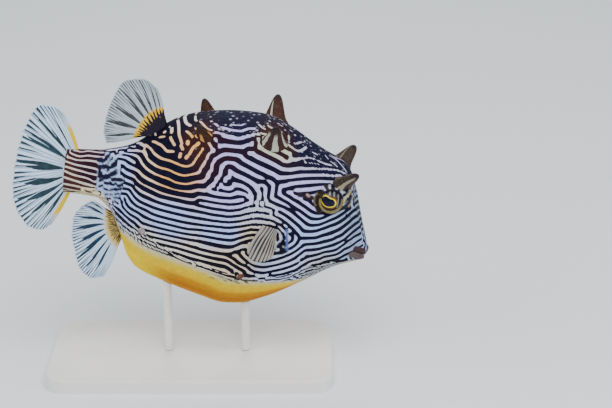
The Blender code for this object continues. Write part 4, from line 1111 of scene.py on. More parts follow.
PATCHES = tuple(Patch(*row) for row in (
    (5.0, 0.30, 1.9, 0.60, (0.26, 0.33, 0.46), BLACK_BLUE),
    (5.0, 0.60, 1.7, 0.55, (0.30, 0.38, 0.58), BLACK_BLUE),
    (12.0, 0.62, 1.8, 0.52, (0.42, 0.53, 0.80), BLACK_BLUE),
    (14.0, 0.76, 1.7, 0.48, (0.46, 0.48, 0.52), SOOT),
    (22.0, 0.55, 2.2, 0.50, BLUE_WHITE, BLACK_BLUE),
    (28.0, 0.42, 2.4, 0.52, LAVENDER, BLACK_BLUE),
    (30.0, 0.72, 2.1, 0.52, (0.50, 0.57, 0.78), BLACK_BLUE),
    (40.0, 0.36, 2.8, 0.54, LAVENDER, BLACK_BLUE),
    (40.0, 0.51, 2.1, 0.40, GREY_WHITE, BLACK_BLUE),
    (40.0, 0.58, 2.1, 0.54, CREAM, SOOT),
    (37.0, 0.25, 2.4, 0.55, SPINE_CREAM, BROWN),
    (54.0, 0.30, 2.8, 0.60, LAVENDER, MAROON),
    (61.5, 0.28, 2.8, 0.82, ORANGE_CREAM, BROWN),
    (48.0, 0.46, 2.1, 0.52, LAVENDER, BLACK_BLUE),
    (50.0, 0.59, 2.1, 0.46, BLUE_WHITE, BLACK_BLUE),
    (48.0, 0.70, 2.2, 0.60, CREAM, SOOT),
    (62.0, 0.75, 2.1, 0.50, (0.66, 0.60, 0.52), SOOT),
    (70.0, 0.60, 2.2, 0.45, BLUE_WHITE, BLACK_BLUE),
    (70.0, 0.40, 3.1, 0.88, ORANGE_CREAM, INK),
    (79.0, 0.38, 2.6, 0.74, (0.78, 0.56, 0.38), INK),
    (75.0, 0.80, 1.7, 0.46, (0.62, 0.60, 0.56), SOOT),
    (84.0, 0.60, 1.9, 0.50, BLUE_WHITE, BLACK_BLUE),
    (86.0, 0.35, 2.1, 0.52, BLUE_WHITE, INK),
    (98.0, 0.45, 1.8, 0.70, (0.56, 0.47, 0.50), MAROON),
    (104.0, 0.60, 1.8, 0.64, (0.62, 0.53, 0.42), (0.06, 0.020, 0.015)),
    (98.0, 0.85, 1.6, 0.30, (0.70, 0.62, 0.36), (0.10, 0.05, 0.03)),
    (50.0, 0.00, 2.6, 0.80, (0.50, 0.50, 0.62), BACK_BLUE),
    (50.0, 0.20, 2.6, 0.60, LAVENDER, BACK_BLUE),
    (24.0, 0.12, 2.2, 0.72, (0.46, 0.44, 0.58), BACK_BLUE),
    (70.0, 0.08, 2.6, 0.75, (0.78, 0.68, 0.66), INK),
    (73.0, 0.22, 2.6, 0.75, (0.80, 0.50, 0.24), INK),
))


def extruded(bm: bmesh.types.BMesh, edges: list[bmesh.types.BMEdge]) -> tuple[list, list]:
    """Extrudes open edges once, without moving them.

    Args:
        bm: The mesh.
        edges: The edges.

    Returns:
        The new corners and the new edges between them.
    """
    made = bmesh.ops.extrude_edge_only(bm, edges=edges)["geom"]
    verts = [g for g in made if isinstance(g, bmesh.types.BMVert)]
    new = set(verts)
    return verts, [g for g in made if isinstance(g, bmesh.types.BMEdge) and set(g.verts) <= new]


class Loop:
    """An open rim of a mesh that is drawn on, ring by ring, about an axis."""

    def __init__(self, bm: bmesh.types.BMesh, edges: list[bmesh.types.BMEdge], centre: Vector,
                 turned: Matrix) -> None:
        """Takes up a rim.

        Args:
            bm: The mesh.
            edges: The edges of the rim.
            centre: A point on the axis.
            turned: A rotation whose Z is the axis.
        """
        self.bm, self.edges, self.centre, self.turned = bm, edges, centre, turned

    def local(self, point: Vector) -> Vector:
        """A point in millimetres along and about the axis."""
        return (self.turned.transposed() @ (point - self.centre)) / MM

    def draw(self, move: Callable[[float, Vector], Vector]) -> list[bmesh.types.BMVert]:
        """Extrudes the rim once.

        Args:
            move: From a corner's angle about the axis and its place, the new place, in the axis's own frame.

        Returns:
            The corners of the new ring.
        """
        fresh, self.edges = extruded(self.bm, self.edges)
        for v in fresh:
            here = self.local(v.co)
            v.co = self.centre + self.turned @ move(float(np.arctan2(here.y, here.x)), here) * MM
        return fresh

    def close(self) -> None:
        """Fills the rim with a fan of faces."""
        cap = bmesh.ops.holes_fill(self.bm, edges=self.edges, sides=0)["faces"]
        bmesh.ops.poke(self.bm, faces=cap)


@dataclass
class Skin:
    """The fish's skin in one piece: carapace, face, lips, orbits, nostrils, gill slits and tail stalk."""

    form: BodyForm
    name: str = "striped_body"
    nodes: tuple[str, ...] = ("head", "torso", "belly", "tail_stalk")
    orbit_out: float = 2.7
    orbit_radius: float = 4.05
    orbit_roll: float = 0.62
    orbit_reach: float = 9.0
    orbit_rings: tuple[Flat, ...] = (
        (5, 0.35), (25, 0.75), (50, 1), (75, 1), (100, 1), (125, 1), (150, 1), (180, 1))
    socket_rings: tuple[Flat, ...] = ((3.35, 1.9), (2.2, 1.7))
    lip_degrees: tuple[float, ...] = (-12, 12, 34, 56, 78, 100, 122, 145, 170, 200)
    mouth_rings: tuple[Flat, ...] = ((0.9, -1.2), (0.7, -2.0), (0.3, -2.4))
    lip_at: Place = (1.3, 0.0, -2.5)
    lip_tilt: float = radians(25.0)
    lip_radii: Flat = (1.7, 2.35)
    lip_rolls: Flat = (1.0, 0.62)
    nostrils: tuple[Flat, ...] = ((8.3, 13.0), (9.9, 14.2))
    nostril_size: Flat = (0.5, 0.7)
    gill_slit_at: Flat = (30.2, 4.6)
    gill_slit_size: Flat = (0.55, 3.3)
    gill_depth: float = 0.9
    plain_back: tuple[Flat, ...] = (
        (0.9, 0.0), (7.0, 4.0), (10.0, 9.0), (12.0, 11.3), (16.0, 14.8), (20.0, 19.0), (22.9, 16.0),
        (24.7, 18.0), (26.4, 21.0), (28.5, 23.6), (31.0, 24.3), (36.0, 25.0), (40.0, 23.3), (43.0, 20.8),
        (46.0, 22.0), (50.0, 23.6), (54.0, 22.6), (57.0, 21.8), (58.0, 24.0), (60.0, 27.0), (62.0, 30.8),
        (65.0, 34.8), (67.6, 35.0), (71.3, 32.8), (74.5, 30.0), (77.7, 23.8), (79.0, 21.0), (80.5, 17.0),
        (83.0, 8.0), (86.0, 3.0), (90.0, 0.0))
    belly_from: tuple[Flat, ...] = (
        (0.9, 0.80), (6.0, 0.74), (10.5, 0.84), (15.6, 0.90), (22.3, 0.872), (27.6, 0.825), (32.4, 0.805),
        (37.2, 0.794), (42.0, 0.787), (48.0, 0.790), (54.2, 0.782), (60.4, 0.779), (64.0, 0.785),
        (68.5, 0.795), (75.4, 0.818), (80.8, 0.832), (83.7, 0.848), (85.5, 0.893), (92.0, 0.95),
        (106.0, 0.99))
    rear_tone: Rgb = (0.80, 0.56, 0.0)
    rear_from: Flat = (64.0, 80.0)
    rear_under: Flat = (0.22, 0.38)
    bare_until: Flat = (92.0, 88.0)
    beads_at: Flat = (39.5, 0.51)
    beads_size: Flat = (5.5, 0.055)
    flecks_from: Flat = (8.0, 16.0)
    flecks_until: Flat = (66.0, 56.0)
    pin_strength: float = 1.5
    pin_reach: float = 0.4
    # Belly colours from the lower ridge to the keel: yellow into orange. The darker orange-brown middle is
    # partly the belly's own orange and partly painted shade of the downward-facing underside
    belly_bands: tuple[tuple[float, Rgb], ...] = (
        (0.0, (0.60, 0.56, 0.38)), (0.07, (0.64, 0.54, 0.20)), (0.15, (0.70, 0.50, 0.02)),
        (0.30, (0.76, 0.48, 0.0)), (0.38, (0.56, 0.25, 0.0)), (0.60, (0.42, 0.14, 0.0)),
        (0.85, (0.62, 0.27, 0.0)), (1.0, (0.74, 0.42, 0.0)))
    chin_tone: Rgb = (0.40, 0.35, 0.26)
    chin_until: Flat = (18.0, 27.0)
    lip_tones: tuple[Rgb, Rgb] = ((0.085, 0.045, 0.045), (0.14, 0.095, 0.09))
    # Painted shade: the inside of the mouth is painted near black
    mouth_shade_tone: Rgb = (0.02, 0.008, 0.008)
    rim_tones: tuple[Rgb, Rgb] = ((0.17, 0.14, 0.065), (0.020, 0.016, 0.020))
    socket_tone: Rgb = (0.03, 0.014, 0.008)
    settling: int = 420

    def paint(self) -> dict[str, np.ndarray]:
        """Works out the markings of the left side.

        Returns:
            What the skin's material reads, by name, each by column and row of the weave.
        """
        form = self.form
        net = form.surface(form.stations[:, None], form.half_turns[None, :])
        flat, shape = net.reshape(-1, 3), net.shape[:2]
        stations = np.broadcast_to(form.stations[:, None], shape)
        turns = np.broadcast_to(form.half_turns[None, :], shape)
        weights = weight_places(flat, PATCHES, form)
        spacing, share, light, dark = (
            (weights @ np.array([getattr(p, key) for p in PATCHES])).reshape(*shape, *size)
            for key, size in (("spacing", ()), ("dark_share", ()), ("light", (3,)), ("dark", (3,))))
        darks = self.nearest(flat, DARK_LINES)[0].reshape(shape)
        lights = self.nearest(flat, LIGHT_LINES + DRAWN_LINES)[0].reshape(shape)
        guess = np.where(darks < lights, -np.cos(2 * pi * darks / spacing), np.cos(2 * pi * lights / spacing))
        pin_dark, pin_light = (self.pin_strength * np.exp(-((away / self.pin_reach) ** 2))
                               for away in (darks, lights))
        pins = pin_dark + pin_light
        targets = (1.2 * pin_light - pin_dark) / np.maximum(pins, 1e-6)
        steps = self.settling
        woven = Weave(net).settle(0.8 * guess, spacing, pins, targets, steps) + np.cos(pi * share)
        away, nearest = self.nearest(flat, DRAWN_LINES)
        breadths = np.array([mark.breadth for mark in DRAWN_LINES])[nearest]
        drawn = np.clip(1 - 2 * away / breadths, -1.0, 1.0).reshape(shape)
        edge = SmoothLine(self.plain_back)(stations)
        plain = 1 - blend(edge - 0.8, edge + 0.8, turns * 100)
        stroke, tone = self.lay_strokes(flat)
        belly = SmoothLine(self.belly_from)(stations)
        under = np.clip((turns - belly) / (1 - belly), 0.0, 1.0)
        chin = 1 - blend(*self.chin_until, stations)
        # Belly bands, their darker middle partly painted shade, by how far down the belly a place is
        bands = [np.interp(under, [b[0] for b in self.belly_bands], [b[1][c] for b in self.belly_bands])
                 for c in range(3)]
        golden = blend(*self.rear_from, stations) * blend(*self.rear_under, under)
        bands = [band + (tone - band) * golden for band, tone in zip(bands, self.rear_tone)]
        bare_tone = [band + (tone - band) * chin for band, tone in zip(bands, self.chin_tone)]
        beside, across = ((value - at) / size for value, at, size
                          in zip((stations, turns), self.beads_at, self.beads_size))
        return {
            "stripe": woven + (drawn - woven) * plain,
            "light_tone": light,
            "dark_tone": dark,
            "bare": blend(belly - 0.012, belly + 0.012, turns) * blend(*self.bare_until, stations),
            "bare_tone": np.stack(bare_tone, axis=-1),
            "stroke": stroke.reshape(shape),
            "stroke_tone": tone.reshape(*shape, 3),
            "beads": np.exp(-(beside**2) - across**2),
            "bloom": plain * blend(*self.flecks_from, stations) * blend(*self.flecks_until, stations),
        }

    def lay_strokes(self, flat: np.ndarray) -> tuple[np.ndarray, np.ndarray]:
        """Lays the coloured strokes one over another.

        Args:
            flat: Places of the skin.

        Returns:
            How far each place is covered, from 0 to 1, and its colour.
        """
        cover = np.zeros(len(flat))
        tone = np.array([stroke.tone for stroke in STROKES])[self.nearest(flat, STROKES)[1]]
        for stroke in STROKES:
            away = self.nearest(flat, (stroke,))[0] - stroke.breadth / 2
            amount = 1 - blend(-0.2, 0.18, away)
            both = amount + cover * (1 - amount)
            share = np.where(cover > 0, amount / np.maximum(both, 1e-6), amount > 0)
            tone = tone + (np.array(stroke.tone) - tone) * share[:, None]
            cover = both
        return cover, tone

    def nearest(self, flat: np.ndarray, marks: Sequence[Mark | Stroke]) -> tuple[np.ndarray, np.ndarray]:
        """Finds the nearest of some marks for each place.

        Args:
            flat: Places of the skin.
            marks: The marks.

        Returns:
            How far each place is from its nearest mark, in millimetres, and which mark that is.
        """
        runs = [mark.sampled(self.form) for mark in marks]
        whose = [i for i, run in enumerate(runs) for _ in run]
        tree = KDTree(len(whose))
        for i, spot in enumerate(np.concatenate(runs)):
            tree.insert(spot, i)
        tree.balance()
        found = [tree.find(place) for place in flat]
        return np.array([hit[2] for hit in found]), np.array([whose[hit[1]] for hit in found])

    def build(self) -> bpy.types.Object:
        """Weaves the skin, marks it, and draws on the lips and the orbits.

        Returns:
            The skin.
        """
        form, painted = self.form, self.paint()
        columns, half = len(form.stations) - 1, len(form.half_turns) - 1
        bm = bmesh.new()
        layers = {key: (bm.verts.layers.float if values.ndim == 2 else bm.verts.layers.float_color).new(key)
                  for key, values in painted.items()}
        bmesh.ops.create_grid(bm, x_segments=2 * half, y_segments=columns, size=1.0)
        net = form.surface(form.stations[:, None], form.turns[None, :]) * MM
        for v in bm.verts:
            i, j = round((v.co.y + 1) / 2 * columns), round((v.co.x + 1) * half)
            for key, values in painted.items():
                value = values[i, abs(j - half)]
                v[layers[key]] = float(value) if values.ndim == 2 else (*map(float, value), 1.0)
            behind, out, high = net[i, j]
            v.co = (-behind, out, high)
        bmesh.ops.remove_doubles(bm, verts=bm.verts, dist=0.01 * MM)
        self.draw_lips(bm)
        self.close_stalk(bm)
        for side in Side:
            self.draw_orbit(bm, side)
            self.sink_pits(bm, side)
        bmesh.ops.recalc_face_normals(bm, faces=bm.faces)
        bm.transform(POSE)
        return finish_piece(bm, self.name, SkinFinish().material(), Slot.FLANK, self.nodes)

    def lip_place(self, angle: float, phase: float) -> Vector:
        """A place on the roll of the lips, in the frame of their axis.

        Args:
            angle: Its angle about the axis.
            phase: Its phase round the roll: 0 outside, a quarter turn in front, half a turn in the mouth.

        Returns:
            The place.
        """
        radius = Vector((self.lip_radii[0] * cos(angle), self.lip_radii[1] * sin(angle), 0))
        roll = self.lip_rolls[1] + (self.lip_rolls[0] - self.lip_rolls[1]) * abs(cos(angle))
        reach = radius + radius.normalized() * roll * cos(phase)
        return Vector((reach.x, reach.y, roll * sin(phase)))

    def draw_lips(self, bm: bmesh.types.BMesh) -> None:
        """Draws the front rim of the weave over the lips and into the mouth.

        Args:
            bm: The skin's mesh.
        """
        front = placed(self.form.start + 0.2, 0, 0).x
        rim = [e for e in bm.edges if e.is_boundary and min(v.co.x for v in e.verts) > front]
        turned = Matrix.Rotation(pi / 2 + self.lip_tilt, 3, "Y")
        loop = Loop(bm, rim, placed(*self.lip_at), turned)
        for degrees in self.lip_degrees:
            fresh = loop.draw(lambda angle, here, phase=radians(degrees): self.lip_place(angle, phase))
            amount = min(1.0, max(0.0, (degrees + 30) / 60))
            self.tint(bm, fresh, amount, lambda v: self.lip_tones[v.co.z < placed(*self.lip_at).z])
        # The rings inside the mouth get the painted shade, near black
        for shrink, depth in self.mouth_rings:
            fresh = loop.draw(lambda angle, here, f=shrink, d=depth: Vector((here.x * f, here.y * f, d)))
            self.tint(bm, fresh, 1.0, lambda v: self.mouth_shade_tone)
        loop.close()

    def tint(self, bm: bmesh.types.BMesh, verts: Sequence[bmesh.types.BMVert], amount: float,
             tone: Callable[[bmesh.types.BMVert], Rgb]) -> None:
        """Gives corners a colour of their own over the stripes.

        Args:
            bm: The mesh.
            verts: The corners.
            amount: How far the colour covers, from 0 to 1.
            tone: The colour of a corner.
        """
        stroke, colour = bm.verts.layers.float["stroke"], bm.verts.layers.float_color["stroke_tone"]
        for v in verts:
            v[stroke] = max(v[stroke], amount)
            v[colour] = (*tone(v), 1.0)

    def close_stalk(self, bm: bmesh.types.BMesh) -> None:
        """Closes the end of the tail stalk under the tail fin.

        Args:
            bm: The skin's mesh.
        """
        rear = placed(self.form.end - 0.2, 0, 0).x
        rim = [e for e in bm.edges if e.is_boundary and max(v.co.x for v in e.verts) < rear]
        Loop(bm, rim, placed(self.form.end, 0, 14.0), Matrix.Identity(3)).close()

    def rim_place(self, angle: float, high: float, phase: float, share: float) -> Vector:
        """A place on the roll of the orbit's rim, in the frame of its axis.

        Args:
            angle: Its angle about the axis.
            high: The height that it is drawn from.
            phase: Its phase round the roll, from outside over the crest to the inside.
            share: How far it goes to the roll's own height.

        Returns:
            The place.
        """
        reach = self.orbit_radius + self.orbit_roll * cos(phase)
        height = self.orbit_out + self.orbit_roll * sin(phase)
        return Vector((reach * cos(angle), reach * sin(angle), high + (height - high) * share))

    def draw_orbit(self, bm: bmesh.types.BMesh, side: Side) -> None:
        """Opens the skin over one eye and draws the rim up to the orbit's crest and down into the socket.

        Args:
            bm: The skin's mesh.
            side: The side of the fish.
        """
        turned = facing(EYE_FACING, side)
        centre = mirrored(EYE_AT, side)
        loop = Loop(bm, [], centre, turned)
        hole = self.orbit_radius + self.orbit_roll + 0.05
        near = self.orbit_reach * MM
        inside = {v for v in bm.verts if v.co.y * side.value > 0 and (v.co - centre).length < near
                  and loop.local(v.co).z > 0.5 and loop.local(v.co).xy.length < hole}
        gone = [f for f in bm.faces if any(v in inside for v in f.verts)]
        bmesh.ops.delete(bm, geom=gone, context="FACES_KEEP_BOUNDARY")
        bmesh.ops.delete(bm, geom=[v for v in bm.verts if not v.link_faces], context="VERTS")
        loop.edges = [e for e in bm.edges if e.is_boundary and (e.verts[0].co - centre).length < near]
        for v in {v for e in loop.edges for v in e.verts}:
            here = loop.local(v.co)
            snug = here.xy.normalized() * (hole + 0.12)
            v.co = centre + turned @ Vector((snug.x, snug.y, here.z)) * MM
        for degrees, share in self.orbit_rings:
            fresh = loop.draw(lambda angle, here, phase=radians(degrees), share=share:
                              self.rim_place(angle, here.z, phase, share))
            if degrees >= 75:
                self.tint(bm, fresh, 1.0, lambda v: self.rim_tones[v.co.z > centre.z + 1.2 * MM])
        for reach, height in self.socket_rings:
            fresh = loop.draw(
                lambda angle, here, r=reach, h=height: Vector((r * cos(angle), r * sin(angle), h)))
            self.tint(bm, fresh, 1.0, lambda v: self.socket_tone)
        loop.close()

    def sink_pits(self, bm: bmesh.types.BMesh, side: Side) -> None:
        """Sinks the nostrils and the gill slit of one side, on skin that is woven finer there.

        Args:
            bm: The skin's mesh.
            side: The side of the fish.
        """
        form = self.form
        pits = [(spot, (self.nostril_size[0],) * 2, self.nostril_size[1], 2) for spot in self.nostrils]
        pits.append((self.gill_slit_at, self.gill_slit_size, self.gill_depth, 1))
        for spot, (wide, tall), depth, rounds in pits:
            centre = mirrored(form.on_flank(*spot), side)

            def away(v: bmesh.types.BMVert) -> float:
                """How far out a corner is.

                Args:
                    v: The corner.

                Returns:
                    1 at the edge of the pit, less inside it.
                """
                apart = (v.co - centre) / MM
                across = Vector((apart.x, apart.y)).length / wide
                return (across**2 + (apart.z / tall) ** 2) ** 0.5 if v.co.y * side.value > 0 else 99.0

            for _ in range(rounds):
                near = {v for v in bm.verts if away(v) < 1.6 + 0.5 / wide}
                edges = [e for e in bm.edges if e.verts[0] in near and e.verts[1] in near]
                bmesh.ops.subdivide_edges(bm, edges=edges, cuts=1, use_grid_fill=True)
            bm.normal_update()
            inward = Vector((0.1, -side.value, 0.0)).normalized()
            for v in bm.verts:
                reach = away(v)
                if reach < 1.8:
                    v.co += inward * depth * MM * (1 - blend(0.35, 1.25, np.float64(reach)))


@dataclass
class Eye:
    """One eyeball, with the outline of its pupil carried by its mesh."""

    side: Side
    radius: float = 4.35
    pupil: Flat = (2.4, 1.5)
    pupil_at: Flat = (-0.3, 0.3)
    pupil_turn: float = radians(-20.0)
    pupil_notch: float = 0.55

    def beyond_pupil(self, along: float, up: float) -> float:
        """How far a place is outside the kidney-shaped pupil, in millimetres.

        Args:
            along: How far in front of the middle of the eye the place is.
            up: How far above it.

        Returns:
            The distance, below 0 inside the pupil.
        """
        x = along * cos(self.pupil_turn) + up * sin(self.pupil_turn)
        y = up * cos(self.pupil_turn) - along * sin(self.pupil_turn)
        y += self.pupil_notch * (exp(-((x / 0.9) ** 2)) - 0.5) * (0.7 if y > 0 else 0.25)
        share = ((x / self.pupil[0]) ** 2 + (y / self.pupil[1]) ** 2) ** 0.5
        return (share - 1) * (self.pupil[0] * self.pupil[1]) ** 0.5 * 0.85

    def build(self) -> bpy.types.Object:
        """Makes the eyeball and turns it to look out and a little forward.

        Returns:
            The eyeball.
        """
        bm = bmesh.new()
        layer, fore, lid = (bm.verts.layers.float.new(key) for key in ("beyond_pupil", "ahead", "lid"))
        bmesh.ops.create_uvsphere(bm, u_segments=96, v_segments=72, radius=self.radius)
        turned = facing(EYE_FACING, self.side)
        ahead = turned.transposed() @ Vector((1, 0, 0))
        above = turned.transposed() @ Vector((0, 0, 1))
        for v in bm.verts:
            along, up = v.co @ ahead - self.pupil_at[0], v.co @ above - self.pupil_at[1]
            v[layer] = self.beyond_pupil(along, up) if v.co.z > 0 else 9.0
            v[fore], v[lid] = along, max(up - 2.1 + 0.22 * max(along, 0.0), along - 3.0)
        bmesh.ops.rotate(bm, matrix=turned, verts=bm.verts)
        bmesh.ops.scale(bm, vec=(MM,) * 3, verts=bm.verts)
        bmesh.ops.translate(bm, vec=mirrored(EYE_AT, self.side), verts=bm.verts)
        bm.transform(POSE)
        label = self.side.label
        return finish_piece(bm, f"eye_ball_{label}", EyeFinish().material(), Slot.EYE, [f"eye_{label}"])


@dataclass
class Thorn:
    """A blunt horn or spine on an oval root, drawn up ring by ring; the form is given for the left side."""

    node: str
    root: Place
    tip: Place
    long: float
    broad: float
    blunt: float
    finish: ThornFinish
    sunk: float = 1.4
    flare: float = 0.7
    sides: int = 44
    rings: int = 26
    power: float = 1.3
    tip_power: float = 6.0
    oval: Flat = (1.25, 0.85)

    def build(self, side: Side) -> bpy.types.Object:
        """Makes the thorn of one side.

        Args:
            side: The side of the fish.

        Returns:
            The thorn.
        """
        root, tip = mirrored(self.root, side), mirrored(self.tip, side)
        up = (tip - root).normalized()
        along = (Vector((1, 0, 0)) - up * up.x).normalized()
        across = up.cross(along) * side.value
        length = (tip - root).length / MM
        bm = bmesh.new()
        about, rise = (bm.verts.layers.float.new(key) for key in ("about", "up"))
        bmesh.ops.create_circle(bm, segments=self.sides, radius=1.0)
        ring = list(bm.edges)
        for step in range(self.rings + 1):
            t = step / self.rings
            height = -self.sunk + (length + self.sunk) * sin(t * pi / 2)
            over = max(height, 0.0) / length
            taper = max(1 - over, 0.0) ** self.power
            rounding = max(1 - over**self.tip_power, 0.0) ** 0.5
            foot = self.flare * exp(-max(height, 0.0) / 0.8)
            reach, spread = ((size - self.blunt * oval) * taper + self.blunt * oval * rounding + foot
                             for size, oval in zip((self.long, self.broad), self.oval))
            if step:
                verts, ring = extruded(bm, ring)
            else:
                verts = list(bm.verts)
                for v in verts:
                    v[about] = float(np.arctan2(v.co.y, v.co.x)) / (2 * pi)
            for v in verts:
                angle, v[rise] = v[about] * 2 * pi, over
                aside = along * reach * cos(angle) + across * spread * sin(angle)
                v.co = root + (up * height + aside) * MM
        bmesh.ops.remove_doubles(bm, verts=bm.verts, dist=0.003 * MM)
        open_rims = [e for e in bm.edges if e.is_boundary]
        if open_rims:
            bmesh.ops.holes_fill(bm, edges=open_rims, sides=0)
        bmesh.ops.recalc_face_normals(bm, faces=bm.faces)
        bm.transform(POSE)
        node = f"{self.node}_{side.label}"
        return finish_piece(bm, node.replace("back_", "ridge_").replace("low_", "edge_") + "_cone",
                            self.finish.material(), Slot.THORN, [node])


@dataclass
class Fin:
    """A fin: webbed skin between forking rays, standing on a fleshy foot.

    The root and the tips are lines of places from the first ray to the last. Each wedge of web is its share
    of the way along the root, its share along the tips, and its half breadth as a share.
    """

    name: str
    nodes: tuple[str, ...]
    finish: FinFinish
    root: tuple[Place, ...]
    tips: tuple[Place, ...]
    wedges: tuple[Place, ...]
    foot: float
    lobe: tuple[Flat, ...] = ((0.0, -9.0), (1.0, -9.0))
    sunk: float = 3.0
    foot_reach: float = 0.12
    foot_depth: float = 0.16
    sway: float = 1.2
    bow: float = 0.5
    edges: Flat = (0.0, 0.0)
    edge_length: float = 1.0
    columns: int = 340
    rows: int = 64
    sunk_rows: int = 6
    web_thick: float = 0.26
    ray_proud: float = 0.17
    fork_from: float = 0.34
    forks: int = 38
    scallop: float = 0.5
    wedge_end: float = 0.06
    web_from: float = 0.0

    def web_at(self, share: np.ndarray, along: np.ndarray) -> np.ndarray:
        """How far the fin is web rather than ray.

        Args:
            share: Shares of the way along the root, by column.
            along: Shares of the way along the rays, by row.

        Returns:
            From 0 on the rays to 1 on the web, by column and row.
        """
        web = np.zeros(np.broadcast(share, along).shape)
        for at_root, at_tip, breadth in self.wedges:
            middle = at_root + (at_tip - at_root) * np.clip(along, 0, 1)
            wide = breadth * np.clip(0.35 + 3.0 * along - 3.5 * along**2, self.wedge_end, 1.0)
            begun = blend(self.web_from, self.web_from + 0.06, along)
            web = np.maximum(web, np.exp(-np.abs((share - middle) / wide) ** 3) * begun)
        for k in range(1, self.forks):
            middle = (k + 0.16 * (k * 5 % 3 - 1)) / self.forks
            start = self.fork_from + 0.12 * (k * 7 % 3)
            wide = 0.27 / self.forks * blend(start, 1.0, along) + 1e-4
            begun = blend(start, start + 0.12, along)
            web = np.maximum(web, np.exp(-np.abs((share - middle) / wide) ** 2.5) * begun)
        for k in range(self.forks):
            middle = (k + 0.5 + 0.12 * (k * 7 % 3 - 1)) / self.forks
            start = 0.30 + 0.11 * (k * 5 % 4)
            wide = 0.22 / self.forks * blend(start, start + 0.45, along) + 1e-4
            begun = blend(start, start + 0.1, along)
            web = web * (1 - 0.95 * np.exp(-((share - middle) / wide) ** 2) * begun)
        return web

    def build(self, side: Side = Side.LEFT) -> bpy.types.Object:
        """Makes the fin, from a grid laid along its rays and given two faces.

        Args:
            side: The side of the fish, for a fin that comes in pairs.

        Returns:
            The fin.
        """
        mirror = np.array([1.0, side.value, 1.0])
        root, tips = SmoothPath(self.root), SmoothPath(self.tips)
        share = np.linspace(0.0, 1.0, self.columns + 1)[:, None]
        row = np.arange(self.rows + self.sunk_rows + 1)[None, :] - self.sunk_rows
        along = np.clip(row / self.rows, 0.0, 1.0)
        depth = np.clip(-row / self.sunk_rows, 0.0, 1.0)
        web = self.web_at(share, along)
        inner, outer = root(share[:, 0])[:, None, :], tips(share[:, 0])[:, None, :]
        rays = outer - inner
        lengths = np.linalg.norm(rays, axis=2, keepdims=True)
        chord = (inner[-1] - inner[0])[0]
        chord /= np.linalg.norm(chord)
        thick_way = np.cross(chord, rays[self.columns // 2][0])
        thick_way /= np.linalg.norm(thick_way)
        reach = along - self.scallop * blend(0.8, 1.0, along) * web / lengths[..., 0]
        places = inner + rays * reach[..., None] - rays / lengths * (self.sunk * depth)[..., None]
        places = places + chord * (self.bow * (2 * share - 1) * np.sin(pi * along))[..., None]
        places = places + thick_way * (self.sway * np.sin(pi * share * 1.2 + 0.4) * along**1.5)[..., None]
        rim = np.minimum(share, 1 - share)
        ends = np.minimum(1.0, 0.25 + 7 * rim)
        swell = np.clip(1 - along / (self.foot_reach * 2.2), 0.0, 1.0) ** 1.6 * (0.4 + 0.6 * depth)
        proud = self.ray_proud * (1 - web) * (1 - 0.55 * along)
        half = (self.web_thick + self.foot * swell * ends) / 2 + proud
        half = half * (1 - 0.75 * blend(0.97, 1.0, along))
        half = half * (0.35 + 0.65 * blend(0.0, 0.02, rim))
        signed = along - self.sunk * depth / lengths[..., 0] + 0.015 * np.sin(share * 60)
        lobe = SmoothLine(self.lobe)(share)
        foot = 1 - blend(lobe - 0.03, lobe + 0.04, signed)
        edge = np.zeros_like(web)
        for at, breadth in zip((0.0, 1.0), self.edges):
            if breadth:
                edge = np.maximum(edge, (1 - blend(breadth * 0.6, breadth, np.abs(share - at)))
                                  * (1 - blend(self.edge_length - 0.25, self.edge_length, along)))
        deep = np.clip((lobe - signed) / self.foot_depth, 0.0, 1.0)
        across = np.broadcast_to(share, web.shape)
        carried = {"ray": 1 - web, "foot": foot, "edge": edge, "deep": deep, "across": across}
        bm = bmesh.new()
        layers = {key: bm.verts.layers.float.new(key) for key in carried}
        bmesh.ops.create_grid(bm, x_segments=self.columns, y_segments=self.rows + self.sunk_rows, size=1.0)
        shifts = {}
        for v in bm.verts:
            i = round((v.co.x + 1) / 2 * self.columns)
            j = round((v.co.y + 1) / 2 * (self.rows + self.sunk_rows))
            for key, values in carried.items():
                v[layers[key]] = float(values[i, j])
            v.co = placed(*(places[i, j] * mirror))
            shifts[v] = placed(*(thick_way * mirror * half[i, j]))
        twins = bmesh.ops.duplicate(bm, geom=bm.verts[:] + bm.edges[:] + bm.faces[:])
        for v, shift in shifts.items():
            twins["vert_map"][v].co = v.co - shift
            v.co = v.co + shift
        bmesh.ops.reverse_faces(bm, faces=[f for f in twins["geom"] if isinstance(f, bmesh.types.BMFace)])
        bmesh.ops.bridge_loops(bm, edges=[e for e in bm.edges if e.is_boundary])
        bmesh.ops.recalc_face_normals(bm, faces=bm.faces)
        bm.transform(POSE)
        return finish_piece(bm, self.name, self.finish.material(), Slot.FIN, self.nodes)


@dataclass
class Stand:
    """The plain display stand, whose solids keep their shape and get a finish."""

    board: str = "stand_base"
    rods: tuple[str, ...] = ("stand_rod_front", "stand_rod_rear")

    def dress(self) -> None:
        """Gives the board and the rods their materials."""
        for node in (self.board, *self.rods):
            finish = StandFinish(node + "_satin", roughness=0.42 if node == self.board else 0.28)
            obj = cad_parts[node]
            for slot in obj.material_slots:
                slot.material = finish.material()


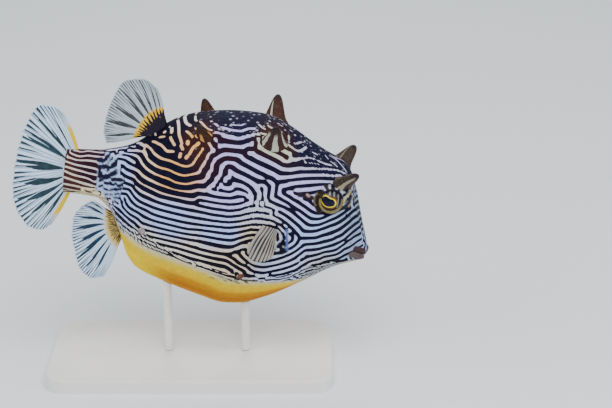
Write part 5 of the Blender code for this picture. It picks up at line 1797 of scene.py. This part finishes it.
@dataclass
class Studio:
    """Floor, soft lights and the camera, none of them part of the fish."""

    floor_size: float = 8.0
    floor_tone: Rgb = (0.78, 0.82, 0.86)
    target: Place = (40.44, 0.0, 60.05)
    reach: float = 598.72
    elevation: float = radians(20.0)
    view: float = radians(20.0)
    lamps: tuple[tuple[Place, Place, float, float, Rgb], ...] = (
        ((0.10, -0.55, 0.85), (0.0, 0.0, 0.06), 0.9, 11.0, (1.0, 0.99, 0.97)),
        ((0.9, -0.25, 0.55), (0.0, 0.0, 0.06), 0.7, 4.2, (0.93, 0.96, 1.0)),
        ((-0.8, -0.4, 0.5), (0.0, 0.0, 0.06), 0.7, 3.4, (0.95, 0.97, 1.0)),
        ((0.0, 0.9, 0.8), (0.0, 0.0, 0.06), 0.9, 5.0, (1.0, 1.0, 1.0)),
    )

    def lay_floor(self) -> None:
        """Lays the plain pale floor."""
        bm = bmesh.new()
        bmesh.ops.create_grid(bm, x_segments=8, y_segments=8, size=self.floor_size / 2)
        mesh = bpy.data.meshes.new("studio_floor")
        bm.to_mesh(mesh)
        bm.free()
        s = Shader("floor_paper")
        paper = s.mix(s.noise(3.0), self.floor_tone, brightened(self.floor_tone, 1.03))
        s.set(Base_Color=paper, Roughness=0.85)
        mesh.materials.append(s.material)
        floor = bpy.data.objects.new("studio_floor", mesh)
        bpy.context.scene.collection.objects.link(floor)

    def hang_lamps(self) -> None:
        """Hangs the area lamps and sets the soft light from all round."""
        for i, (at, to, size, power, tone) in enumerate(self.lamps):
            lamp = bpy.data.lights.new(f"studio_lamp_{i}", "AREA")
            lamp.shape, lamp.size, lamp.energy, lamp.color = "DISK", size, power, tone
            obj = bpy.data.objects.new(lamp.name, lamp)
            obj.location = at
            obj.rotation_euler = (Vector(to) - Vector(at)).to_track_quat("-Z", "Y").to_euler()
            bpy.context.scene.collection.objects.link(obj)
        world = bpy.data.worlds.new("studio_air")
        world.use_nodes = True
        air = world.node_tree.nodes["Background"].inputs
        air["Color"].default_value = (0.90, 0.95, 1.0, 1.0)
        air["Strength"].default_value = 0.36
        bpy.context.scene.world = world

    def set_camera(self) -> None:
        """Sets the camera at the photograph's angle."""
        data = bpy.data.cameras.new("studio_camera")
        data.sensor_fit = "HORIZONTAL"
        data.angle = self.view
        camera = bpy.data.objects.new("studio_camera", data)
        back = Vector((0.0, -cos(self.elevation), sin(self.elevation)))
        camera.location = (Vector(self.target) + back * self.reach) * MM
        camera.rotation_euler = (-back).to_track_quat("-Z", "Y").to_euler()
        bpy.context.scene.collection.objects.link(camera)
        bpy.context.scene.camera = camera


HORN_BROWN = ThornFinish("horn_brown", base=(0.026, 0.016, 0.013), streak=(0.30, 0.25, 0.17), streaks=4.0,
                         streak_share=0.26, top=0.95, line=0.5)
RIDGE_BROWN = ThornFinish("ridge_brown", base=(0.030, 0.011, 0.009), streak=(0.46, 0.46, 0.36), streaks=5.0,
                          streak_share=0.42, top=0.8)
REAR_BROWN = ThornFinish("rear_brown", base=(0.026, 0.008, 0.004), streak=(0.50, 0.24, 0.06), streaks=4.0,
                         streak_share=0.2, top=0.6, line=0.0)
EDGE_PALE = ThornFinish("edge_pale", base=(0.20, 0.16, 0.18), streaks=1.0, streak_share=0.2, top=0.6)
EDGE_YELLOW = ThornFinish("edge_yellow", base=(0.07, 0.028, 0.016), streaks=3.0, streak_share=0.3, top=0.9)
THORNS = (
    Thorn("horn", (12.4, 11.0, 25.0), (8.0, 15.7, 30.4), 3.5, 1.6, 1.35, HORN_BROWN),
    Thorn("back_spine_front", (37.2, 12.0, 36.8), (36.9, 19.4, 44.6), 4.2, 2.3, 1.3, RIDGE_BROWN),
    Thorn("back_spine_rear", (60.0, 11.5, 36.0), (62.4, 15.8, 41.0), 3.2, 1.9, 1.0, REAR_BROWN),
    Thorn("low_spine_front", (42.8, 16.0, -9.4), (43.8, 18.8, -11.0), 1.9, 1.2, 0.5, EDGE_YELLOW),
    Thorn("low_spine_rear", (77.4, 10.6, 0.2), (78.8, 13.0, -0.9), 1.7, 1.2, 0.5, EDGE_PALE),
)
TAIL_FIN = Fin(
    "tail_fan", ("tail_fin",), FinFinish("tail_web", spots=0.0),
    root=((102.4, 0.0, 22.0), (105.6, 0.0, 19.6), (106.8, 0.0, 14.8), (106.6, 0.0, 10.4), (104.3, 0.0, 6.4)),
    tips=((108.4, 0.0, 35.0), (112.2, 0.0, 37.2), (116.6, 0.0, 37.4), (120.4, 0.0, 31.4), (122.5, 0.0, 24.0),
          (123.8, 0.0, 16.0), (124.2, 0.0, 8.5), (123.8, 0.0, 2.4), (121.2, 0.0, -4.0), (117.4, 0.0, -8.2),
          (113.6, 0.0, -8.9), (109.8, 0.0, -6.2)),
    wedges=((0.14, 0.15, 0.012), (0.22, 0.25, 0.019), (0.32, 0.33, 0.028), (0.48, 0.45, 0.036),
            (0.64, 0.53, 0.034), (0.74, 0.64, 0.026), (0.81, 0.73, 0.022), (0.87, 0.86, 0.025)),
    foot=2.4, sunk=3.4, sway=1.6, bow=0.9, edges=(0.075, 0.10), edge_length=0.72, foot_reach=0.05)
DORSAL_FIN = Fin(
    "dorsal_fan", ("dorsal_fin",),
    FinFinish("dorsal_web", ray=(0.46, 0.54, 0.60), shade=(0.17, 0.21, 0.25), web=(0.030, 0.036, 0.040),
              web_cover=0.9, foot=(0.62, 0.37, 0.01), spot=(0.012, 0.009, 0.020), spots=1.0, streaks=85.0,
              spots_from=0.84),
    root=((74.8, 0.0, 38.8), (77.6, 0.0, 37.2), (80.6, 0.0, 34.4), (82.8, 0.0, 31.8), (84.4, 0.0, 28.8)),
    tips=((78.0, 0.0, 47.6), (83.0, 0.0, 50.5), (89.0, 0.0, 49.2), (92.2, 0.0, 43.6), (94.1, 0.0, 37.0),
          (94.9, 0.0, 30.4), (93.6, 0.0, 25.6)),
    wedges=((0.08, 0.05, 0.012), (0.17, 0.11, 0.015), (0.26, 0.20, 0.02), (0.34, 0.31, 0.026),
            (0.44, 0.42, 0.026), (0.57, 0.56, 0.034), (0.70, 0.73, 0.034), (0.85, 0.90, 0.03)),
    foot=3.6, sunk=6.4, sway=1.2, bow=0.5, foot_depth=0.24,
    lobe=((0.0, 0.22), (0.25, 0.165), (0.5, 0.125), (0.75, 0.075), (1.0, 0.03)))
ANAL_FIN = Fin(
    "anal_fan", ("anal_fin",),
    FinFinish("anal_web", web=(0.005, 0.018, 0.042), foot=(0.52, 0.38, 0.10), spots=0.95, spots_from=1.22),
    root=((86.3, 0.0, -11.2), (89.2, 0.0, -8.8), (91.0, 0.0, -5.0), (91.7, 0.0, -1.2), (92.3, 0.0, 2.7)),
    tips=((90.2, 0.0, -23.4), (94.6, 0.0, -24.8), (98.9, 0.0, -22.0), (101.4, 0.0, -15.2), (102.9, 0.0, -8.6),
          (102.8, 0.0, -3.0), (100.4, 0.0, 2.0), (96.8, 0.0, 5.0)),
    wedges=((0.19, 0.14, 0.02), (0.30, 0.24, 0.02), (0.41, 0.36, 0.03), (0.51, 0.46, 0.028),
            (0.62, 0.60, 0.03), (0.72, 0.75, 0.028), (0.84, 0.90, 0.028), (0.94, 0.97, 0.018)),
    foot=3.4, sunk=6.0, sway=1.2, bow=0.5, lobe=((0.0, 0.04), (0.1, 0.0), (0.75, 0.0), (1.0, -0.05)))


def pectoral_fin(side: Side) -> Fin:
    """The small fin behind the gill slit of one side."""
    return Fin(
        f"breast_fan_{side.label}", (f"pectoral_fin_{side.label}",),
        FinFinish("breast_web", ray=(0.30, 0.28, 0.23), shade=(0.15, 0.14, 0.15), fine=90.0,
                  web=(0.022, 0.019, 0.026), web_cover=0.92, spots=0.0),
        root=((32.7, 17.4, 5.0), (34.6, 17.9, 6.6), (38.6, 18.5, 7.6)),
        tips=((33.2, 20.4, -0.9), (35.5, 21.2, -2.1), (38.0, 21.6, -2.5), (40.4, 21.9, -1.6),
              (41.6, 22.0, 1.0)),
        wedges=((0.09, 0.09, 0.036), (0.22, 0.22, 0.04), (0.35, 0.35, 0.042), (0.48, 0.48, 0.042),
                (0.61, 0.61, 0.042), (0.74, 0.74, 0.042), (0.87, 0.87, 0.036)),
        foot=2.2, sunk=2.2, sway=0.6, bow=0.4, columns=100, rows=36, web_thick=0.24,
        forks=0, wedge_end=0.6, web_from=-0.1)


def main() -> None:
    """Builds the studio and every piece of the fish, in order."""
    logging.basicConfig(level=logging.INFO, format="%(name)s: %(message)s")
    studio = Studio()
    studio.set_camera()
    studio.lay_floor()
    studio.hang_lamps()
    form = BodyForm()
    Skin(form).build()
    for side in Side:
        Eye(side).build()
        for thorn in THORNS:
            thorn.build(side)
        pectoral_fin(side).build(side)
    for fin in (TAIL_FIN, DORSAL_FIN, ANAL_FIN):
        fin.build()
    Stand().dress()


if __name__ == "__main__":
    main()
